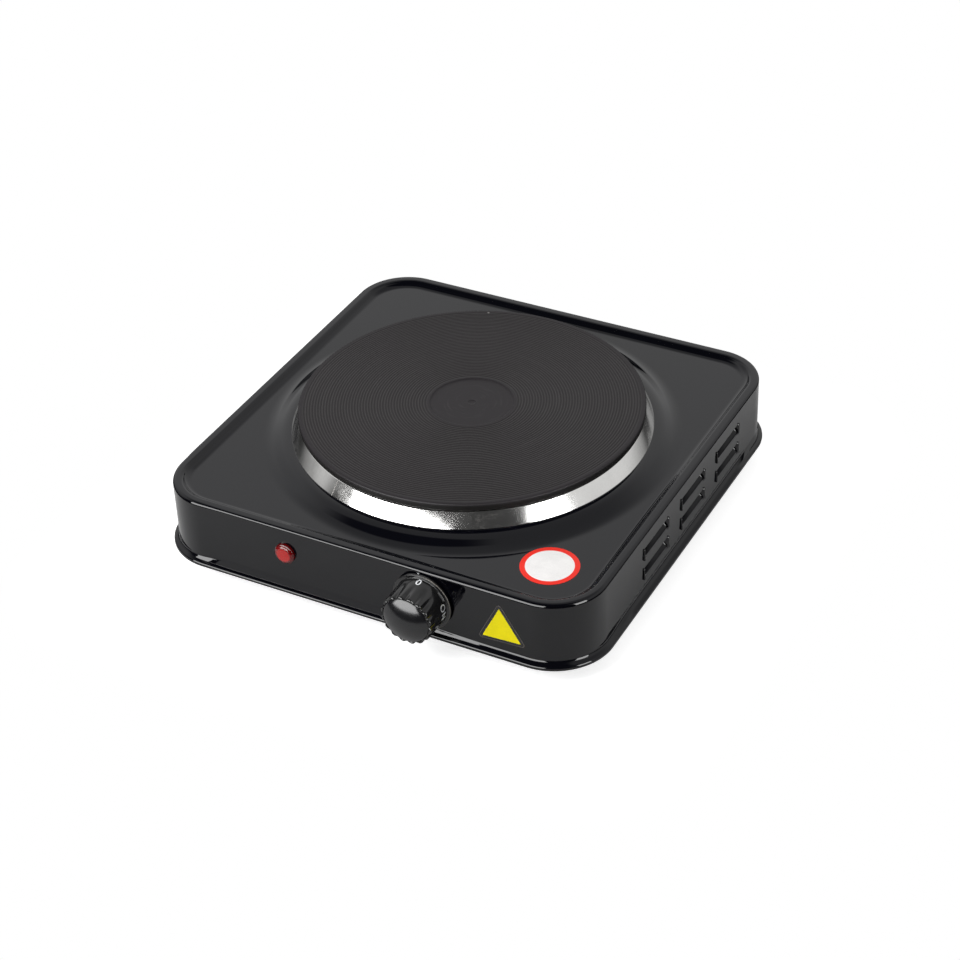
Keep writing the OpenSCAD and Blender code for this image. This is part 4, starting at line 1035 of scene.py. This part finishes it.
def makeKnob():
    s = knobSet
    gap, front, length, dial, cap, start = (s[k] for k in ("gap", "dialFront", "length", "dial", "cap", "gripStart"))
    end = length - s["endRound"] - 0.3
    # From the shaft's bore out over the hollow back, round the dial, along the grip and in to the cap's seat
    outline = [
        (0, s["boreEnd"]), (s["bore"], s["boreEnd"]), (s["bore"], gap), (s["hub"], gap), (s["hub"], s["hollowEnd"]),
        (s["hollow"], s["hollowEnd"]), (s["hollow"], s["backStep"]), (s["backRim"], s["backStep"]), (s["backRim"], gap),
        (dial - 1.0, gap)]
    outline += roundOutline([
        (dial - 1.0, gap), (dial, gap, 0.25), (dial, front, 0.35), (s["neck"] + 0.05, front + 0.2, 0.25),
        (gripRadius(start), start)], 5)[1:]
    outline += [(gripRadius(start + (end - start) * k / 26), start + (end - start) * k / 26) for k in range(1, 27)]
    outline += roundOutline([
        (gripRadius(end), end), (s["grip"], length, s["endRound"]), (cap + 0.42, length, 0.1),
        (cap + 0.06, length - 0.3)], 7)[1:]
    outline += [(cap + 0.05, length - 0.5), (cap + 0.05, length - s["seat"]), (0, length - s["seat"])]
    knob = lathe("knobGrip", outline, s["around"], phenolic, aboutKnob, 42)
    applyTree(knob, fluteTree(phenolic), {
        "Axis": knobAxis, "Flutes": float(s["flutes"]), "Depth": s["fluteDepth"] * mm, "Start": s["fluteStart"] * mm,
        "End": length * mm, "Inner Radius": (cap + 0.15) * mm, "Outer Radius": (cap + 1.0) * mm})
    knob.data.set_sharp_from_angle(angle=radians(45))
    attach(knob, "knob_body")
    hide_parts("knob")
    # The cap is a part of a ball over a short plug
    foot, dome = cap - 0.05, s["dome"]
    ball = (foot * foot + dome ** 2) / (2 * dome)
    reach = atan2(foot, ball - dome)
    outline = [(0, length - 1.4), (foot, length - 1.4), (foot, length - 0.15)]
    for k in range(1, 20):
        a = reach * (1 - k / 20)
        outline.append((ball * sin(a), length + dome - ball + ball * cos(a)))
    cap = lathe("knobDome", outline + [(0, length + dome)], 128, knobInsert, aboutKnob, 50)
    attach(cap, "knob_body")
    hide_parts("knob_cap")


# White lettering (word, angle, size, distance from the panel); each word is set flat, then bent round the knob
markSet = {
    "words": [("0", 87.5, 5.7, 5.0), ("ON", 4.0, 5.4, 5.9)], "spacing": 1.2, "weight": 0.01, "proud": 0.05,
}


def textMesh(word, size):
    curve = bpy.data.curves.new("word", "FONT")
    curve.body, curve.size, curve.align_x, curve.align_y = word, size, "CENTER", "CENTER"
    curve.offset, curve.space_character, curve.resolution_u = markSet["weight"] * size, markSet["spacing"], 6
    return curveMesh(curve)


def makeMarks(material):
    s = markSet
    whole = bmesh.new()
    for word, angle, size, rise in s["words"]:
        mesh = textMesh(word, size)
        flat = bmesh.new()
        flat.from_mesh(mesh)
        bmesh.ops.triangulate(flat, faces=flat.faces)
        for v in flat.verts:
            along = rise - v.co.y
            radius = gripRadius(along) + s["proud"]
            a = radians(angle) - v.co.x / radius
            v.co = aboutKnob(radius * cos(a) * mm, radius * sin(a) * mm, along * mm)
        flat.to_mesh(mesh)
        flat.free()
        whole.from_mesh(mesh)
        bpy.data.meshes.remove(mesh)
    out = bpy.data.meshes.new("dialMarks")
    whole.to_mesh(out)
    whole.free()
    out.materials.append(material)
    marks = addObject("dialMarks", out)
    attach(marks, "knob_body")


pointerSet = {"place": (34.5, 36.1), "radius": 0.45, "proud": 0.04}


# A printed dot above the dial, that the dial's marks are read against
def makePointer(material):
    s = pointerSet
    radius, proud = s["radius"], s["proud"]
    spot = panelFoot + Vector((s["place"][0] * mm, 0, s["place"][1] * mm))
    outline = [(0, 0), (radius, 0), (radius, proud * 0.6), (radius * 0.85, proud), (0, proud)]
    dot = lathe("pointerDot", outline, 24, material, outOfPanel(spot), 60)
    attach(dot, "chassis")


makeKnob()
whitePrint = plasticMaterial("whitePrint", (0.82, 0.84, 0.86), 0.4)[0]
makeMarks(whitePrint)
makePointer(whitePrint)
print("knob ready")


# The lamp's lens, in mm
lensSet = {
    "radius": 5.8, "face": 5.35, "height": 1.6, "dome": 1.1, "tail": 4.75, "tailWall": 1.0, "tailLength": 14.0,
    "pale": (0.66, 0.022, 0.018), "deep": (0.22, 0.003, 0.004), "rim": (0.12, 0.002, 0.003),
    "paleFrom": 4.2, "paleTo": 3.3, "rimFrom": 4.7, "rimTo": 5.4, "pyramids": 900.0,
    "finish": {"Coat Weight": 0.35, "Specular IOR Level": 0.25, "Coat Roughness": 0.04, "Transmission Weight": 0.1},
}


def lensMaterial():
    s = lensSet
    material, tree, shader = newMaterial("redLens")
    place = objectCoords(tree, lampAxis)
    radius = axisDistance(tree, place, "y")
    # Painted light: the middle is painted paler, standing in for the lamp's white inside seen through the lens; small
    # moulded pyramid cells break up that paler middle
    bright = cellNode(tree, acrossAxis(tree, place, "y"), s["pyramids"], 0.15, "MANHATTAN")["Distance"]
    pale = mapRange(tree, radius, s["paleFrom"] * mm, s["paleTo"] * mm, kind="SMOOTHSTEP")
    sparkle = times(tree, pale, mapRange(tree, bright, 0.1, 0.8, 1.0, 0.7))
    outer = mapRange(tree, radius, s["rimFrom"] * mm, s["rimTo"] * mm, kind="SMOOTHSTEP")
    ground = mixColour(tree, outer, s["deep"], s["rim"])
    shade = mixColour(tree, sparkle, ground, s["pale"])
    rough = mapRange(tree, noiseNode(tree, place, 700.0), 0.3, 0.7, 0.06, 0.12)
    finishShader(tree, shader, shade, rough, bumpNode(tree, bright, 0.2, 0.0001), s["finish"])
    return material


def makeLens():
    s = lensSet
    tail, bore, radius, height = s["tail"], s["tail"] - s["tailWall"], s["radius"], s["height"]
    # Nearly flat in the middle, with a quick fall toward the edge
    face = [(s["face"] * (1 - k / 16), height + s["dome"] * (1 - (1 - k / 16) ** 8)) for k in range(17)]
    outline = [(0, 0), (bore, 0), (bore, -s["tailLength"]), (tail, -s["tailLength"]), (tail, 0.02)]
    outline += roundOutline([(tail, 0.02), (radius, 0.02, 0.1), (radius - 0.1, height - 0.1, 0.25), face[0]], 5)[1:]
    lens = lathe("lampDome", outline + face[1:], 96, lensMaterial(), aboutLamp, 50)
    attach(lens, "chassis")
    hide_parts("lamp_lens")


makeLens()
print("lamp ready")


roundLabelSet = {
    "radius": 15.0, "white": 12.3, "thick": 0.15, "paper": (0.84, 0.825, 0.815), "red": (0.84, 0.03, 0.018),
}


def makeRoundLabel():
    s = roundLabelSet
    low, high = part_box("round_label")
    middle = Vector(((low.x + high.x) / 2, (low.y + high.y) / 2, low.z))
    material, tree, shader = plasticMaterial("labelFilm", s["paper"], 0.35, 0.06)
    radius = axisDistance(tree, objectCoords(tree, middle), "z")
    paintOver(tree, shader, mapRange(tree, radius, (s["white"] - 0.08) * mm, (s["white"] + 0.08) * mm), s["red"])
    setInputs(tree, shader, {"Specular IOR Level": 0.2})
    outline = roundOutline([(0, s["thick"]), (s["radius"], s["thick"], 0.06), (s["radius"], 0)], 3)
    place = lambda x, y, z: middle + Vector((x, y, z))
    label = lathe("roundSticker", [(0, 0)] + outline[::-1], 96, material, place, 60)
    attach(label, "chassis")
    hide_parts("round_label")


# The triangle's corners are in mm from the foot of the front panel; each sheet has the distance that its corners
# stand out from them, and their radius
frontLabelSet = {
    "triangle": [(79.0, 29.7), (68.9, 9.6), (91.0, 10.7)], "thick": 0.15, "yellow": (0.98, 0.85, 0.0015),
    "film": (2.9, 1.5), "cut": (2.35, 1.4), "line": (0.45, 0.6), "sign": (-0.5, 0.35),
}


# The sign's triangle with its corners moved out from its middle, or in when the distance is below zero
def signOutline(away, radius):
    corners = [Vector(c) for c in frontLabelSet["triangle"]]
    middle = sum(corners, Vector((0, 0))) / 3
    moved = [c + (c - middle).normalized() * away for c in corners]
    return roundOutline([(*c, radius) for c in moved], 8, closed=True)


# A thin sheet on the front panel, between an outline and an optional inner one
def panelSheet(name, outer, inner, low, high, material):
    count = len(outer)
    middle = sum(outer, Vector((0, 0))) / count
    bevel = [middle + (p - middle) * (1 - 0.05 / (p - middle).length) for p in outer]
    loops = [(outer, low), (outer, high - 0.04), (bevel, high)]
    if inner:
        loops += [(inner, high), (inner, low)]
    verts = [panelFoot + Vector((p.x * mm, -height * mm, p.y * mm)) for loop, height in loops for p in loop]
    faces = bridgeRings(len(loops), count)
    if not inner:
        faces.append([(len(loops) - 1) * count + j for j in range(count)])
    sheet = makeObject(name, verts, faces, material, 30)
    fixNormals(sheet)
    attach(sheet, "chassis")
    return sheet


def makeFrontLabel():
    s = frontLabelSet
    thick, film = s["thick"], signOutline(*s["film"])
    clear = plasticMaterial("labelBacking", (0.006, 0.006, 0.0065), 0.12, 0.02)[0]
    cutEdge = plasticMaterial("labelCutEdge", (0.075, 0.062, 0.058), 0.4)[0]
    dark = plasticMaterial("labelLine", (0.008, 0.007, 0.006), 0.35)[0]
    bright, tree, shader = plasticMaterial("yellowFilm", s["yellow"], 0.5, 0.05)
    setInputs(tree, shader, {"Specular IOR Level": 0.12})
    backing = panelSheet("labelBacking", film, None, 0.0, thick * 0.6, clear)
    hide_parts("front_label_backing")
    edge = panelSheet("labelCutEdge", film, signOutline(*s["cut"]), 0.02, thick * 0.8, cutEdge)
    border = panelSheet("labelLine", signOutline(*s["line"]), None, thick * 0.5, thick, dark)
    sign = panelSheet("labelYellow", signOutline(*s["sign"]), None, thick * 0.8, thick * 1.4, bright)
    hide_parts("front_label")


makeRoundLabel()
makeFrontLabel()
print("labels ready")


# The CAD pieces that stay get a metal's or a plastic's colour and roughness
metalLooks = {
    "brass": ((0.72, 0.52, 0.24), 0.3), "spring_bronze": ((0.62, 0.4, 0.18), 0.28),
    "contact_silver": ((0.85, 0.84, 0.82), 0.25), "bimetal_strip": ((0.5, 0.47, 0.44), 0.38),
    "heating_wire": ((0.3, 0.26, 0.23), 0.55),
}
plasticLooks = {
    "white_ceramic": ((0.8, 0.76, 0.68), 0.45), "magnesia_compound": ((0.62, 0.56, 0.46), 0.9),
    "white_plastic": ((0.8, 0.8, 0.77), 0.4), "neon_glass": ((0.95, 0.8, 0.7), 0.05),
    "resistor_body": ((0.52, 0.36, 0.2), 0.4), "brown_wire": ((0.14, 0.07, 0.035), 0.4),
    "black_wire": ((0.02, 0.02, 0.02), 0.4), "blue_wire": ((0.03, 0.09, 0.34), 0.4),
    "green_wire": ((0.07, 0.3, 0.07), 0.4), "white_wire": ((0.78, 0.76, 0.7), 0.75),
}


def finishCadPieces():
    made = {"galvanised_steel": zinc, "black_rubber": rubber, "black_plastic": softBlack}
    for slot, look in metalLooks.items():
        made[slot] = metalMaterial(slot, *look)
    for slot, look in plasticLooks.items():
        made[slot], tree, shader = plasticMaterial(slot, *look)
        if slot == "neon_glass":
            setInputs(tree, shader, {"Transmission Weight": 0.9})
    for piece in frame["record"]["subparts"]:
        material = made.get(piece["material_slot"])
        if material:
            surface = nodes[piece["node"]].data.materials
            surface.clear()
            surface.append(material)


finishCadPieces()
print("finishes ready")
